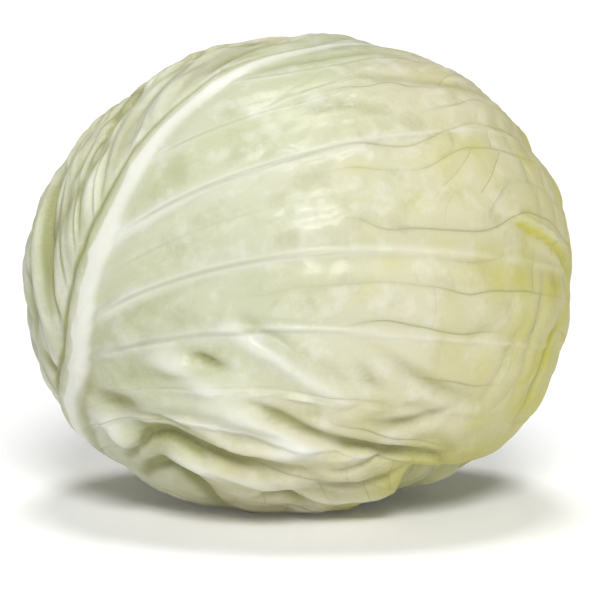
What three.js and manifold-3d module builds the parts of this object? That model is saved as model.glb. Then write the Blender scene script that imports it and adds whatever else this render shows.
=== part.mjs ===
// A green cabbage lying on its side: a dense heart, a cut stem and three wrapper leaves.
//
// Lengths are millimetres and angles are degrees. +Z is up, the head's long side runs along X,
// and its front, the side with the big midrib, faces -Y. The origin is under the middle of the
// head, on the surface that it lies on.
//
// Everything is drawn round the centre of the head. A direction from there says where a point is,
// and a radius says how far out. Each leaf is laid out flat, as on a map whose middle is the
// leaf's own centre: (p, q) are degrees to the right and up, and the distance from the middle
// of the map is the true angle round the head.

import * as THREE from "three";
import { mergeVertices } from "three/addons/utils/BufferGeometryUtils.js";
import Module from "manifold-3d";

const wasm = await Module();
wasm.setup();

// The head
const LENGTH = 177.5;
const DEPTH = 159;
const HEIGHT = 154.5;
const FLOOR_DROP = 77;
const CENTRE = new THREE.Vector3(0.018, 0.33, FLOOR_DROP);
const STEM = { lon: -100, lat: -56, radius: 14.5, flare: 0.3, stands: 1.5, clearance: 0.6 };
const BORE = { from: 40, to: 110 };
const DIMPLE = { spread: 16, sink: 5 };
const BUMPS = [
  { lon: -78, lat: -38, spread: 24, rise: 3 },
  { lon: -72, lat: -54, spread: 13, rise: 3.2 },
  { lon: -88, lat: 38, spread: 26, rise: -2.4 },
  { lon: 88, lat: -35, spread: 24, rise: 2.6 },
  { lon: -90, lat: 20, spread: 13, rise: -1.8 },
  { lon: -90, lat: -20, spread: 10, rise: 1.2 },
  { lon: -90, lat: -42, spread: 9, rise: -1.5 },
  { lon: 90, lat: -42, spread: 11, rise: 1.2 },
  { lon: 90, lat: -10, spread: 12, rise: 1.1 },
  { lon: 0, lat: 86, spread: 11, rise: -1.2 },
  { lon: -90, lat: 68, spread: 9, rise: 1.3 },
];
const SWELLS = [
  { wave: [4.1, 1.7, -2.6], phase: 1.1, rise: 0.6 },
  { wave: [-2.2, 5.3, 3.1], phase: 0.4, rise: 0.5 },
  { wave: [3.3, -3.9, 6.2], phase: 2.3, rise: 0.5 },
  { wave: [9.5, 4.4, -7.1], phase: 0.9, rise: 0.3 },
];

// How the leaves lie on each other
const LEAF_THICKNESS = 1.1;
const LEAF_GAP = 0.8;
const LAYER = LEAF_THICKNESS + LEAF_GAP;
const THINNEST = 0.75;
const SETTLE = 24; // a leaf sinks under a covering edge over this many degrees
const TUCK = 7; // and its ribs flatten out over this many
const EDGE_LIFT = { rise: 1.4, width: 9, wave: 0.5, waves: 23 };
const RUFFLE = { size: 1.1, waves: 17 };
const HEART_GAP = 0.7;

// Ribs of a leaf, as height and half width, from stem to edge
const MIDRIB = { rise: 4.8, tipRise: 0.4, half: 7.4, tipHalf: 1.4, ease: 1.25 };
const SIDE_RIB = { rise: 1.6, edgeRise: 0.3, half: 2.3, edgeHalf: 1.1, angle: 38, bend: 0.45 };
const PILLOW = { rise: 1.4, reach: 9 };
const GROOVE = { depth: 0.6, off: 1.3, half: 0.3, beyond: 0.35 };
const FOLLOW = { depth: 1.3, width: 2.4 }; // how the leaves below give way to a fold that sinks
const DEEPEST = 5; // what creases that cross come to at most

const DEG = Math.PI / 180;
const SPHERE = 80; // degrees are turned into millimetres round a ball of this radius
const CURVE_STEPS = 40;
const FIRST_ROW = 0.02;
const ROWS_OF_A_RIB = [0, 0.15, 0.5, 0.85];
const COLUMN_EASE = 0.25;
const LEVEL_ENOUGH = 0.3;

// Each leaf: where its map is centred, its midrib from stem to tip, how far its edge reaches from
// the centre of the map at each angle, and its side ribs: each gives the share of the way round
// the edge where it ends, the share of the way along the midrib where it starts, and how strong
// it is on the right and on the left. The columns are steps from the midrib to the edge, on the
// right and on the left.
const OUTER_LEAF = {
  lon: -20,
  lat: 3,
  midrib: [
    [-49, -73], [-52, -55], [-47, -33], [-38, -19], [-31, 1], [-26, 17],
    [-20, 34], [-13, 46], [-5, 59], [5, 70], [25, 90], [46, 109],
  ],
  reach: [
    [-171, 116], [-159, 112], [-142, 102], [-124, 91], [-114, 94], [-103, 104], [-92, 110],
    [-81, 104], [-75, 92], [-71, 85], [-64, 79], [-56, 72], [-49, 70], [-44, 84], [-39, 100],
    [-30, 104], [-18, 107], [-8, 107], [2, 105], [20, 112], [37, 117], [58, 119], [80, 121],
    [103, 120], [126, 123], [150, 123], [172, 119],
  ],
  ribs: [
    [0.1, 0.02, 0.3, 0.3], [0.2, 0.05, 0.4, 0.5], [0.31, 0.09, 0.35, 0.4], [0.41, 0.14, 1, 0.6],
    [0.49, 0.2, 0.3, 0.7], [0.575, 0.265, 1.2, 0.4], [0.655, 0.31, 1, 0.8], [0.73, 0.352, 0.3, 0.5],
    [0.8, 0.4, 1.1, 0.7], [0.885, 0.49, 0.4, 0.8], [0.94, 0.62, 0.5, 0.5], [0.975, 0.79, 0.3, 0.4],
  ],
  columns: [26, 17],
};
const SECOND_LEAF = {
  lon: -170,
  lat: 0,
  midrib: [[42, -66], [31, -47], [15, -27], [-1, -5], [-13, 20], [-19, 46]],
  reach: [
    [-175, 66], [-159, 76], [-145, 84], [-130, 90], [-110, 92], [-90, 88], [-76, 84], [-57, 82],
    [-46, 80], [-35, 78], [-20, 74], [0, 73], [20, 74], [40, 76], [62, 76], [80, 72], [97, 64],
    [113, 51], [128, 47], [144, 47], [168, 57],
  ],
  ribs: [
    [0.13, 0.06, 0.8, 0.6], [0.27, 0.14, 1.1, 1], [0.41, 0.24, 0.9, 1.2], [0.55, 0.35, 1.2, 0.9],
    [0.68, 0.46, 1, 1.1], [0.8, 0.59, 0.8, 0.9], [0.91, 0.77, 0.7, 0.6],
  ],
  columns: [13, 13],
};
const THIRD_LEAF = {
  lon: 95,
  lat: -20,
  midrib: [[15, -101], [-2, -72], [-8, -41], [-3, -15], [1, 10], [5, 30], [8, 42]],
  reach: [
    [-175, 58], [-155, 62], [-138, 68], [-121, 76], [-100, 90], [-82, 105], [-67, 86], [-50, 70],
    [-26, 64], [7, 60], [25, 58], [38, 54], [55, 46], [68, 42], [79, 42], [95, 42], [110, 44],
    [125, 48], [141, 52], [167, 57],
  ],
  ribs: [
    [0.15, 0.09, 0.7, 0.8], [0.32, 0.22, 1.1, 1], [0.48, 0.35, 0.9, 1.2], [0.63, 0.49, 1.1, 0.8],
    [0.77, 0.64, 0.8, 0.9], [0.9, 0.81, 0.6, 0.7],
  ],
  columns: [11, 11],
};

// Folds of the outer leaf, pinched while it was growing: each runs from one point of its map to
// another, drawn towards a third, and stands out or sinks in by its rise.
const FOLDS = [
  { from: [5, -9], by: [14, -11], to: [28, -24], rise: 3.6, half: 4.2 },
  { from: [7, -7], by: [14, -9], to: [30, -22], rise: -1.7, half: 4 },
  { from: [-20, -15], by: [-7, -14], to: [0, -24], rise: 3.2, half: 4.2 },
  { from: [-2, -28], by: [9, -28], to: [21, -41], rise: 3.2, half: 4.4 },
  { from: [8, -26], by: [14, -30], to: [29, -39], rise: -2.3, half: 4 },
  { from: [-17, -34], by: [-8, -41], to: [15, -45], rise: -2, half: 4 },
  { from: [-36, -34], by: [-31, -38], to: [-26, -42], rise: 3.6, half: 4.4 },
  { from: [-23, -37], by: [-12, -32], to: [-8, -43], rise: -2, half: 4 },
  { from: [-32, -53], by: [-11, -34], to: [-13, -65], rise: -2, half: 4 },
  { from: [-20, -42], by: [-11, -42], to: [-5, -50], rise: 2.4, half: 4 },
  { from: [-7, -45], by: [3, -50], to: [21, -51], rise: 2.2, half: 4 },
  { from: [2, -60], by: [13, -50], to: [12, -68], rise: -1.6, half: 4 },
  { from: [27, -37], by: [33, -43], to: [54, -49], rise: -1.9, half: 4 },
  { from: [16, -50], by: [28, -61], to: [43, -52], rise: -1.7, half: 4 },
  { from: [14, -58], by: [27, -69], to: [41, -62], rise: 2, half: 4 },
  { from: [23, 61], by: [50, 66], to: [78, 74], rise: -1.2, half: 3.4 },
  { from: [15, 45], by: [26, 53], to: [39, 48], rise: -1.3, half: 3.4 },
  { from: [-40, 54], by: [-36, 45], to: [-40, 35], rise: -1.9, half: 3.4 },
  { from: [-45, 40], by: [-46, 32], to: [-44, 24], rise: 1.7, half: 3.4 },
  { from: [-53, 26], by: [-48, 12], to: [-43, 0], rise: -1.9, half: 3.4 },
  { from: [-52, 17], by: [-51, 4], to: [-45, -12], rise: 1.7, half: 3.4 },
  { from: [-54, -19], by: [-52, -22], to: [-48, -26], rise: -1.8, half: 3.4 },
  { from: [75, 19], by: [86, 12], to: [98, 5], rise: 1.6, half: 3.4 },
];

// Where the inner leaves close over each other at the crown: each edge is a low step, bowed
// round the crown, that faces its turn.
const CROWN = { lon: 126, lat: 33, open: 30, close: 42 };
const CROWN_STEPS = [
  { turn: 25, off: -9, bow: 30, rise: 1.5 },
  { turn: 150, off: -6, bow: 26, rise: 1.4 },
  { turn: 265, off: -4, bow: 24, rise: 1.2 },
  { turn: 75, off: 4, bow: 16, rise: 1 },
];
const HEART_RINGS = { fine: 2.5, until: 40, coarse: 10, around: 40 };

const clamp = THREE.MathUtils.clamp;
const lerp = THREE.MathUtils.lerp;
const step = (low, high, x) => THREE.MathUtils.smoothstep(x, low, high);
const bell = (x) => Math.exp(-x * x);
const list = (count, make) => Array.from({ length: count }, (_, i) => make(i));

// The direction from the centre of the head at a longitude, 0 at the front and 90 at the right,
// and a latitude above the level.
function direction({ lon, lat }) {
  const level = Math.cos(lat * DEG);
  return new THREE.Vector3(level * Math.sin(lon * DEG), -level * Math.cos(lon * DEG), Math.sin(lat * DEG));
}

// A map round a centre, which turns directions into (p, q) and back.
function mapAt(centre) {
  const out = direction(centre);
  const east = new THREE.Vector3(Math.cos(centre.lon * DEG), Math.sin(centre.lon * DEG), 0);
  const north = new THREE.Vector3().crossVectors(out, east);
  return {
    toPlane(u) {
      const x = u.dot(east);
      const y = u.dot(north);
      const away = Math.acos(clamp(u.dot(out), -1, 1)) / DEG;
      const level = Math.hypot(x, y) || 1;
      return [(away * x) / level, (away * y) / level];
    },
    toDirection([p, q]) {
      const away = Math.hypot(p, q) || 1;
      const turn = Math.sin(away * DEG) / away;
      return new THREE.Vector3()
        .addScaledVector(out, Math.cos(Math.hypot(p, q) * DEG))
        .addScaledVector(east, p * turn)
        .addScaledVector(north, q * turn);
    },
  };
}

const polar = (angle, away) => [away * Math.cos(angle * DEG), away * Math.sin(angle * DEG)];

// A smooth curve through the values ys at xs, which never overshoots them.
function smooth(xs, ys, x) {
  const last = xs.length - 1;
  let i = 0;
  while (i < last - 1 && x > xs[i + 1]) i += 1;
  const slope = (k) => (ys[k + 1] - ys[k]) / (xs[k + 1] - xs[k]);
  const lean = (k) => {
    const before = slope(Math.max(k - 1, 0));
    const after = slope(Math.min(k, last - 1));
    return before * after <= 0 ? 0 : (2 * before * after) / (before + after);
  };
  const width = xs[i + 1] - xs[i];
  const t = clamp((x - xs[i]) / width, 0, 1);
  const rise = 3 * t ** 2 - 2 * t ** 3;
  return (
    lerp(ys[i], ys[i + 1], rise) +
    lean(i) * width * (t ** 3 - 2 * t ** 2 + t) +
    lean(i + 1) * width * (t ** 3 - t ** 2)
  );
}

// A bend from one point of a map to another, drawn towards a third.
function bend(from, by, to, t) {
  return [0, 1].map((k) => (1 - t) ** 2 * from[k] + 2 * t * (1 - t) * by[k] + t ** 2 * to[k]);
}

// How far a direction is from a curve, in millimetres, how far along the curve it is, and whether
// it is on the left of the curve's run.
function nearest(curve, u) {
  let at = 0;
  let most = -2;
  curve.forEach((point, i) => {
    const near = point.dot(u);
    if (near > most) {
      most = near;
      at = i;
    }
  });
  const last = curve.length - 1;
  const run = curve[Math.min(at + 1, last)].clone().sub(curve[Math.max(at - 1, 0)]);
  const away = u.clone().sub(curve[at]);
  const slide = clamp(away.dot(run) / run.lengthSq(), -0.5, 0.5);
  away.addScaledVector(run, -slide);
  return {
    off: away.length() * SPHERE,
    along: clamp((at + 2 * slide) / last, 0, 1),
    onLeft: u.clone().cross(run).dot(away) > 0,
  };
}

// How far out the head is in a direction, before any leaf's own relief.
const stemAxis = direction(STEM);
const bumpAxes = BUMPS.map(direction);
function headRadius(u) {
  const away = (axis) => Math.acos(clamp(u.dot(axis), -1, 1)) / DEG;
  let r = 1 / Math.hypot(u.x / (LENGTH / 2), u.y / (DEPTH / 2), u.z / (HEIGHT / 2));
  BUMPS.forEach(({ spread, rise }, i) => {
    r += rise * bell(away(bumpAxes[i]) / spread);
  });
  r -= DIMPLE.sink * bell(away(stemAxis) / DIMPLE.spread);
  for (const { wave, phase, rise } of SWELLS) {
    r += rise * Math.sin(wave[0] * u.x + wave[1] * u.y + wave[2] * u.z + phase);
  }
  return r;
}

// The head is pressed flat where it lies: what is raise inside the skin stays raise above there.
const pressed = (r, u, raise) => (u.z < -0.2 ? Math.min(r, (FLOOR_DROP - raise) / -u.z) : r);

// A leaf's map, midrib, edge and side ribs, worked out from its table.
function grow(leaf) {
  const map = mapAt(leaf);
  const lengths = [0];
  leaf.midrib.slice(1).forEach(([p, q], i) => {
    lengths.push(lengths[i] + Math.hypot(p - leaf.midrib[i][0], q - leaf.midrib[i][1]));
  });
  const midribAt = (s) =>
    [0, 1].map((k) => smooth(lengths, leaf.midrib.map((point) => point[k]), s * lengths.at(-1)));

  const angles = [-360, 0, 360].flatMap((turn) => leaf.reach.map(([angle]) => angle + turn));
  const reaches = [0, 1, 2].flatMap(() => leaf.reach.map(([, away]) => away));
  const edgeAt = (angle) =>
    polar(angle, smooth(angles, reaches, angle) + RUFFLE.size * Math.sin(RUFFLE.waves * angle * DEG));

  const [rounds, starts] = [0, 1].map((k) => [0, ...leaf.ribs.map((rib) => rib[k]), 1]);

  const angleOf = ([p, q]) => Math.atan2(q, p) / DEG;
  const stemAngle = angleOf(leaf.midrib[0]);
  const sweep = (angleOf(leaf.midrib.at(-1)) - stemAngle + 360) % 360;

  // The point a share t of the way out along the rib that ends a share w of the way round.
  function ribPoint(side, w, t) {
    const s = smooth(rounds, starts, w);
    const start = midribAt(s);
    const ahead = midribAt(Math.min(s + 0.03, 1));
    const behind = midribAt(Math.max(s - 0.03, 0));
    const end = edgeAt(stemAngle + w * (side === "right" ? sweep : sweep - 360));
    const lean = (side === "right" ? -1 : 1) * SIDE_RIB.angle;
    const heading = Math.atan2(ahead[1] - behind[1], ahead[0] - behind[0]) / DEG + lean;
    const pull = polar(heading, SIDE_RIB.bend * Math.hypot(end[0] - start[0], end[1] - start[1]));
    return bend(start, [start[0] + pull[0], start[1] + pull[1]], end, t);
  }

  const along = (count, point) => list(count + 1, (i) => map.toDirection(point(i / count)));
  const edgeCurve = along(6 * CURVE_STEPS, (share) => edgeAt(360 * share - 180));
  return {
    ...leaf,
    map,
    ribPoint,
    tip: leaf.midrib.at(-1),
    midribCurve: along(2 * CURVE_STEPS, midribAt),
    ribCurves: ["right", "left"].flatMap((side, k) =>
      leaf.ribs.map((rib) => ({
        strength: rib[2 + k],
        curve: along(CURVE_STEPS, (t) => ribPoint(side, rib[0], t)),
      })),
    ),
    // Degrees in from the leaf's edge, and less than 0 beyond it.
    inside(u) {
      const flat = map.toPlane(u);
      const off = nearest(edgeCurve, u).off / SPHERE / DEG;
      return Math.hypot(...flat) < Math.hypot(...edgeAt(angleOf(flat))) ? off : -off;
    },
    edgeAngle: (u) => angleOf(map.toPlane(u)),
  };
}

const outer = grow(OUTER_LEAF);
const second = grow(SECOND_LEAF);
const third = grow(THIRD_LEAF);

// What the folds of the outer leaf add to its radius, and how far what is below it gives way.
const foldCurves = FOLDS.map(({ from, by, to, rise, half }) => ({
  rise,
  half,
  curve: list(CURVE_STEPS / 2 + 1, (i) => outer.map.toDirection(bend(from, by, to, (2 * i) / CURVE_STEPS))),
}));
function folded(u, below) {
  const { depth, width } = below ? FOLLOW : { depth: 1, width: 1 };
  let ridges = 0;
  let creases = 0;
  for (const { curve, rise, half } of foldCurves) {
    const { off, along } = nearest(curve, u);
    const swell = rise * Math.sin(Math.PI * lerp(0.1, 0.9, along)) * bell(off / half / width);
    ridges += Math.max(swell, 0);
    creases += depth * Math.min(swell, 0);
  }
  creases = DEEPEST * Math.tanh(creases / DEEPEST);
  return below ? creases : ridges + creases;
}

// How many layers lie over a direction: leaves count in full over their own area and fade beyond.
function layersOver(leaves, u) {
  return leaves.reduce((sum, leaf) => sum + step(-SETTLE, -1, leaf.inside(u)), 0);
}

// How far the ribs of a leaf stand out from it, how far it is raised between them, and how deep
// it dips beside the midrib. The midrib is steep on its left and falls off gently on its right.
function relief(leaf, u) {
  const middle = nearest(leaf.midribCurve, u);
  const share = middle.off / lerp(MIDRIB.half, MIDRIB.tipHalf, middle.along ** 0.7);
  const section = middle.onLeft ? Math.exp(-(share ** 4)) : bell(share / MIDRIB.ease);
  const midrib = lerp(MIDRIB.rise, MIDRIB.tipRise, middle.along ** 0.9) * section;
  const dip = bell((share - GROOVE.off) / GROOVE.half) * Math.sqrt(1 - middle.along);
  let rib = 0;
  let clear = middle.off;
  for (const { curve, strength } of leaf.ribCurves) {
    const { off, along } = nearest(curve, u);
    const rise = strength * lerp(SIDE_RIB.rise, SIDE_RIB.edgeRise, along);
    rib = Math.max(rib, rise * bell(off / lerp(SIDE_RIB.half, SIDE_RIB.edgeHalf, along ** 0.6)));
    clear = Math.min(clear, off + PILLOW.reach * (1 - Math.min(strength, 1)));
  }
  return {
    ribs: Math.max(midrib, rib),
    pillow: PILLOW.rise * step(0, PILLOW.reach, clear),
    groove: GROOVE.depth * dip * (middle.onLeft ? 1 : GROOVE.beyond),
  };
}

// The inner and outer radius of a leaf in a direction, under the leaves that lie over it.
function leafRadii(leaf, over, u) {
  const layers = layersOver(over, u);
  const shown = over.reduce((least, upper) => Math.min(least, 1 - step(-TUCK, 0, upper.inside(u))), 1);
  const inside = leaf.inside(u);
  const wave = 1 + EDGE_LIFT.wave * Math.sin(EDGE_LIFT.waves * leaf.edgeAngle(u) * DEG);
  const lift = EDGE_LIFT.rise * wave * (1 - step(0, EDGE_LIFT.width, inside)) * shown;
  const { ribs, pillow, groove } = relief(leaf, u);
  const free = shown * step(-0.5, 5, inside);
  const inner =
    headRadius(u) + folded(u, leaf !== outer) - LAYER * layers - LEAF_THICKNESS + lift + pillow * free;
  const thickness = lerp(THINNEST, LEAF_THICKNESS, step(0, 6, inside)) + (ribs - groove) * free;
  return {
    inner: pressed(inner, u, LAYER * layers + LEAF_THICKNESS),
    outer: pressed(inner + thickness, u, LAYER * layers),
  };
}

// The heart's radius, with the steps of the leaves that close at the crown.
const crownMap = mapAt(CROWN);
function heartRadius(u) {
  const depth = LAYER * layersOver([outer, second, third], u) + HEART_GAP;
  const flat = crownMap.toPlane(u);
  const shown = 1 - step(CROWN.open, CROWN.close, Math.hypot(...flat));
  let steps = 0;
  for (const { turn, off, bow, rise } of CROWN_STEPS) {
    const [out, aside] = [turn, turn + 90].map((angle) => {
      const [x, y] = polar(angle, 1);
      return x * flat[0] + y * flat[1];
    });
    steps += rise * (step(-1.6, 1.6, out - off + aside ** 2 / (2 * bow)) - 1);
  }
  return pressed(headRadius(u) + folded(u, true) - depth + steps * shown, u, depth);
}

function geometryOf(points, faces) {
  const geometry = new THREE.BufferGeometry();
  geometry.setAttribute("position", new THREE.Float32BufferAttribute(points.flatMap((v) => v.toArray()), 3));
  geometry.setIndex(faces);
  return geometry;
}

const placed = (u, r) => CENTRE.clone().addScaledVector(u, r);

// Closes a sheet: its outer face, the same triangles on its inner face, and a rim between them.
function closedSheet(outerPoints, innerPoints, triangles) {
  const count = outerPoints.length;
  const faces = [];
  const edges = new Map();
  for (const [a, b, c] of triangles) {
    faces.push(a, b, c, count + a, count + c, count + b);
    for (const [from, to] of [[a, b], [b, c], [c, a]]) {
      edges.set(`${from},${to}`, [from, to]);
    }
  }
  for (const [from, to] of edges.values()) {
    if (!edges.has(`${to},${from}`)) {
      faces.push(to, from, count + from, to, count + from, count + to);
    }
  }
  return geometryOf([...outerPoints, ...innerPoints], faces);
}

// A leaf as one solid. Its mesh follows the ribs, so each rib is a row of its corners.
function leafSheet(leaf, over) {
  const marks = [0, ...leaf.ribs.map(([w]) => w), 1];
  const shares = marks.slice(0, -1).flatMap((mark, i) =>
    ROWS_OF_A_RIB.map((part) => Math.max(FIRST_ROW, lerp(mark, marks[i + 1], part))),
  );
  const rows = [...shares.filter((share, i) => i === 0 || share > shares[i - 1]), 1];
  const [right, left] = leaf.columns.map((count) =>
    list(count + 1, (i) => i / count - (COLUMN_EASE * Math.sin((2 * Math.PI * i) / count)) / (2 * Math.PI)),
  );

  const corners = [];
  const radii = [];
  const known = new Map();
  function corner(side, row, t) {
    const atTip = row === rows.length - 1;
    const key = atTip ? "tip" : `${t === 0 ? "midrib" : side} ${row} ${t}`;
    if (!known.has(key)) {
      const u = leaf.map.toDirection(atTip ? leaf.tip : leaf.ribPoint(side, rows[row], t));
      known.set(key, corners.length);
      corners.push(u);
      radii.push(leafRadii(leaf, over, u));
    }
    return known.get(key);
  }

  // Splits a field of the mesh along its more level diagonal, so that folds aren't notched.
  const slope = (i, k) => Math.abs(radii[i].outer - radii[k].outer);
  function split(a, b, c, d) {
    return slope(a, c) < slope(b, d) + LEVEL_ENOUGH ? [[a, b, c], [a, c, d]] : [[a, b, d], [b, c, d]];
  }

  const triangles = [];
  for (const [side, columns] of [["right", right], ["left", left]]) {
    for (let row = 0; row + 1 < rows.length; row += 1) {
      for (let column = 0; column + 1 < columns.length; column += 1) {
        const a = corner(side, row, columns[column]);
        const b = corner(side, row, columns[column + 1]);
        const c = corner(side, row + 1, columns[column + 1]);
        const d = corner(side, row + 1, columns[column]);
        const pair = side === "right" ? split(a, b, c, d) : split(d, c, b, a);
        triangles.push(...pair.filter((triangle) => new Set(triangle).size === 3));
      }
    }
  }
  return closedSheet(
    corners.map((u, i) => placed(u, radii[i].outer)),
    corners.map((u, i) => placed(u, radii[i].inner)),
    triangles,
  );
}

// A ball of rings round an axis, finer near it, with a radius for each direction.
function ball(map, radiusOf) {
  const { fine, until, coarse, around } = HEART_RINGS;
  const inner = list(until / fine, (i) => fine * (i + 1));
  const outward = list((180 - until) / coarse - 1, (i) => until + coarse * (i + 1));
  const rings = [...inner, ...outward];
  const corners = [
    map.toDirection([0, 0]),
    ...rings.flatMap((away) => list(around, (k) => map.toDirection(polar((360 * k) / around, away)))),
    map.toDirection([180, 0]),
  ];
  const faces = [];
  const at = (ring, k) => 1 + ring * around + (k % around);
  for (let k = 0; k < around; k += 1) {
    faces.push(0, at(0, k), at(0, k + 1));
    for (let ring = 0; ring + 1 < rings.length; ring += 1) {
      faces.push(at(ring, k), at(ring + 1, k), at(ring + 1, k + 1));
      faces.push(at(ring, k), at(ring + 1, k + 1), at(ring, k + 1));
    }
    faces.push(at(rings.length - 1, k), corners.length - 1, at(rings.length - 1, k + 1));
  }
  return geometryOf(corners.map((u) => placed(u, radiusOf(u))), faces);
}

// A turned shape whose axis is the stem's, with heights measured from the centre of the head.
function turnedOnStem(profile, around) {
  const geometry = new THREE.LatheGeometry(profile.map(([r, h]) => new THREE.Vector2(r, h)), around);
  geometry.deleteAttribute("uv");
  geometry.deleteAttribute("normal");
  geometry.applyQuaternion(new THREE.Quaternion().setFromUnitVectors(new THREE.Vector3(0, 1, 0), stemAxis));
  geometry.translate(...CENTRE);
  return mergeVertices(geometry, 1e-4);
}

function solidOf(geometry) {
  return new wasm.Manifold(
    new wasm.Mesh({
      numProp: 3,
      vertProperties: new Float32Array(geometry.attributes.position.array),
      triVerts: new Uint32Array(geometry.index.array),
    }),
  );
}

function geometryOfSolid(solid) {
  const { vertProperties, triVerts } = solid.getMesh();
  const geometry = new THREE.BufferGeometry();
  geometry.setAttribute("position", new THREE.BufferAttribute(vertProperties, 3));
  geometry.setIndex(new THREE.BufferAttribute(triVerts, 1));
  return geometry;
}

// The cut stem stands just clear of the heart and passes through every leaf. It is dished at the cut.
const STEM_GAP = 0.5;
const STEM_ROUNDS = 3;
const STEM_SPOKES = 12;
const heartUnderStem = list(STEM_SPOKES, (k) =>
  list(STEM_ROUNDS + 1, (ring) => {
    const lean = (ring * STEM.radius) / STEM_ROUNDS / SPHERE / DEG;
    const u = mapAt(STEM).toDirection(polar((360 * k) / STEM_SPOKES, lean));
    return heartRadius(u) * u.dot(stemAxis);
  }),
).flat();
const stemFoot = Math.max(...heartUnderStem) + STEM_GAP;
const stemTop = headRadius(stemAxis) + STEM.stands;
const STEM_PROFILE = [
  [0, stemFoot],
  [STEM.radius + STEM.flare, stemFoot],
  [STEM.radius, stemTop - 3.5],
  [STEM.radius - 0.6, stemTop - 1.2],
  [STEM.radius - 1.6, stemTop - 0.2],
  [STEM.radius - 3.2, stemTop],
  [STEM.radius * 0.5, stemTop - 0.5],
  [STEM.radius * 0.4, stemTop - 1.1],
  [0, stemTop - 1.4],
];
const STEM_SIDES = 32;
const boreRadius = STEM.radius + STEM.flare + STEM.clearance;
const boreProfile = [[0, BORE.from], [boreRadius, BORE.from], [boreRadius, BORE.to], [0, BORE.to]];
const bore = solidOf(turnedOnStem(boreProfile, STEM_SIDES));
const boredLeaf = (leaf, over) => geometryOfSolid(solidOf(leafSheet(leaf, over)).subtract(bore));

const cabbage = new THREE.Group();
cabbage.name = "green_cabbage";
function addPiece(name, geometry, color, roughness) {
  geometry.computeVertexNormals();
  const mesh = new THREE.Mesh(geometry, new THREE.MeshStandardMaterial({ color, roughness, metalness: 0 }));
  mesh.name = name;
  cabbage.add(mesh);
}
addPiece("heart", ball(crownMap, heartRadius), "#dfe0b0", 0.5);
addPiece("stump", turnedOnStem(STEM_PROFILE, STEM_SIDES), "#d8d3b4", 0.75);
addPiece("leaf_third", boredLeaf(third, [outer, second]), "#d3d8a6", 0.42);
addPiece("leaf_second", boredLeaf(second, [outer]), "#cfd8ad", 0.42);
addPiece("leaf_outer", boredLeaf(outer, []), "#d8ddbb", 0.4);

export default cabbage;
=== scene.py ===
# %% [markdown]
# # A green cabbage
# The head lies on its side. Its outermost leaf wraps the front, the left and the top: the big
# midrib climbs along the left, and side ribs sweep from it to the right. Two more wrapper leaves
# close the back and the right, the crown shows the tight inner leaves, and the cut stem is
# underneath at the left. Each leaf is one piece here. The inner leaves are one piece together,
# because they are pressed solid.
#
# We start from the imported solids, which fix the size and the place of everything.

# %% Load the frame
import math
import bpy
import numpy as np
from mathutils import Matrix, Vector


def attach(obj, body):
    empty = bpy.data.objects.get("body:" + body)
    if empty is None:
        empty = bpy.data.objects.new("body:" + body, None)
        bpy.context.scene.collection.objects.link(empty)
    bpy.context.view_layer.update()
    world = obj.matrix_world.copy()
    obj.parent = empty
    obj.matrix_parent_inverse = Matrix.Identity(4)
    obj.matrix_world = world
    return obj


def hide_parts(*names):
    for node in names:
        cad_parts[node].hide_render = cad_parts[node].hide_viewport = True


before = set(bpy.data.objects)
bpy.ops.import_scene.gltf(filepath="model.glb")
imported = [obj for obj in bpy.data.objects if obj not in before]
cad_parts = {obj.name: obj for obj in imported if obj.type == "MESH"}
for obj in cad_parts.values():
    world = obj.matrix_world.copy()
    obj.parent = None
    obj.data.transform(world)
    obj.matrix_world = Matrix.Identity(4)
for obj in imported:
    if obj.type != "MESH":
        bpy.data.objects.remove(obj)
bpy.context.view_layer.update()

print("solids:", ", ".join(sorted(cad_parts)))

# %% [markdown]
# ## The measures of the head
# A cabbage is nearly a ball, so every point is given by a direction from its middle and a radius.
# Lengths are millimetres here and turn into metres when a mesh is made. These measures, and
# those of the ribs, folds and layers further on, are the ones that the solids were made from, so
# that each leaf keeps its place.

# %% Measures
LENGTH = 177.5
DEPTH = 159
HEIGHT = 154.5
FLOOR_DROP = 77
CENTRE = np.array([0.018, 0.33, FLOOR_DROP])
DEG = math.pi / 180
print("head", LENGTH, "x", DEPTH, "x", HEIGHT, "mm")

# %% [markdown]
# ## Flat maps of a round head
# To draw a leaf we need paper. Each leaf gets a map whose middle is the leaf's own centre: the
# distance from the middle is the true angle round the head, and the bearing is the true bearing.
# Such a map bends straight lines only a little near its middle, so ribs can be drawn as on paper.


# %% Directions and maps
def soft_step(low, high, x):
    """0 below low, 1 above high, and an S between them."""
    t = np.clip((x - low) / (high - low), 0, 1)
    return t * t * (3 - 2 * t)


def bell(x):
    return np.exp(-x * x)


def between(a, b, t):
    return a + (b - a) * t


def direction(lon, lat):
    level = math.cos(lat * DEG)
    return np.array([level * math.sin(lon * DEG), -level * math.cos(lon * DEG), math.sin(lat * DEG)])


def polar(angle, away):
    angle = np.asarray(angle, float) * DEG
    return np.stack([away * np.cos(angle), away * np.sin(angle)], -1)


class LeafMap:
    """Turns directions into points (p, q) of a flat map, in degrees, and back."""

    def __init__(self, lon, lat):
        self.out = direction(lon, lat)
        self.east = np.array([math.cos(lon * DEG), math.sin(lon * DEG), 0.0])
        self.north = np.cross(self.out, self.east)

    def to_plane(self, u):
        x = u @ self.east
        y = u @ self.north
        away = np.arccos(np.clip(u @ self.out, -1, 1)) / DEG
        level = np.maximum(np.hypot(x, y), 1e-12)
        return np.stack([away * x / level, away * y / level], -1)

    def to_direction(self, flat):
        flat = np.asarray(flat, float)
        away = np.hypot(flat[..., 0], flat[..., 1])
        turn = np.sin(away * DEG) / np.maximum(away, 1e-9)
        return (
            np.cos(away * DEG)[..., None] * self.out
            + (flat[..., 0] * turn)[..., None] * self.east
            + (flat[..., 1] * turn)[..., None] * self.north
        )


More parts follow.
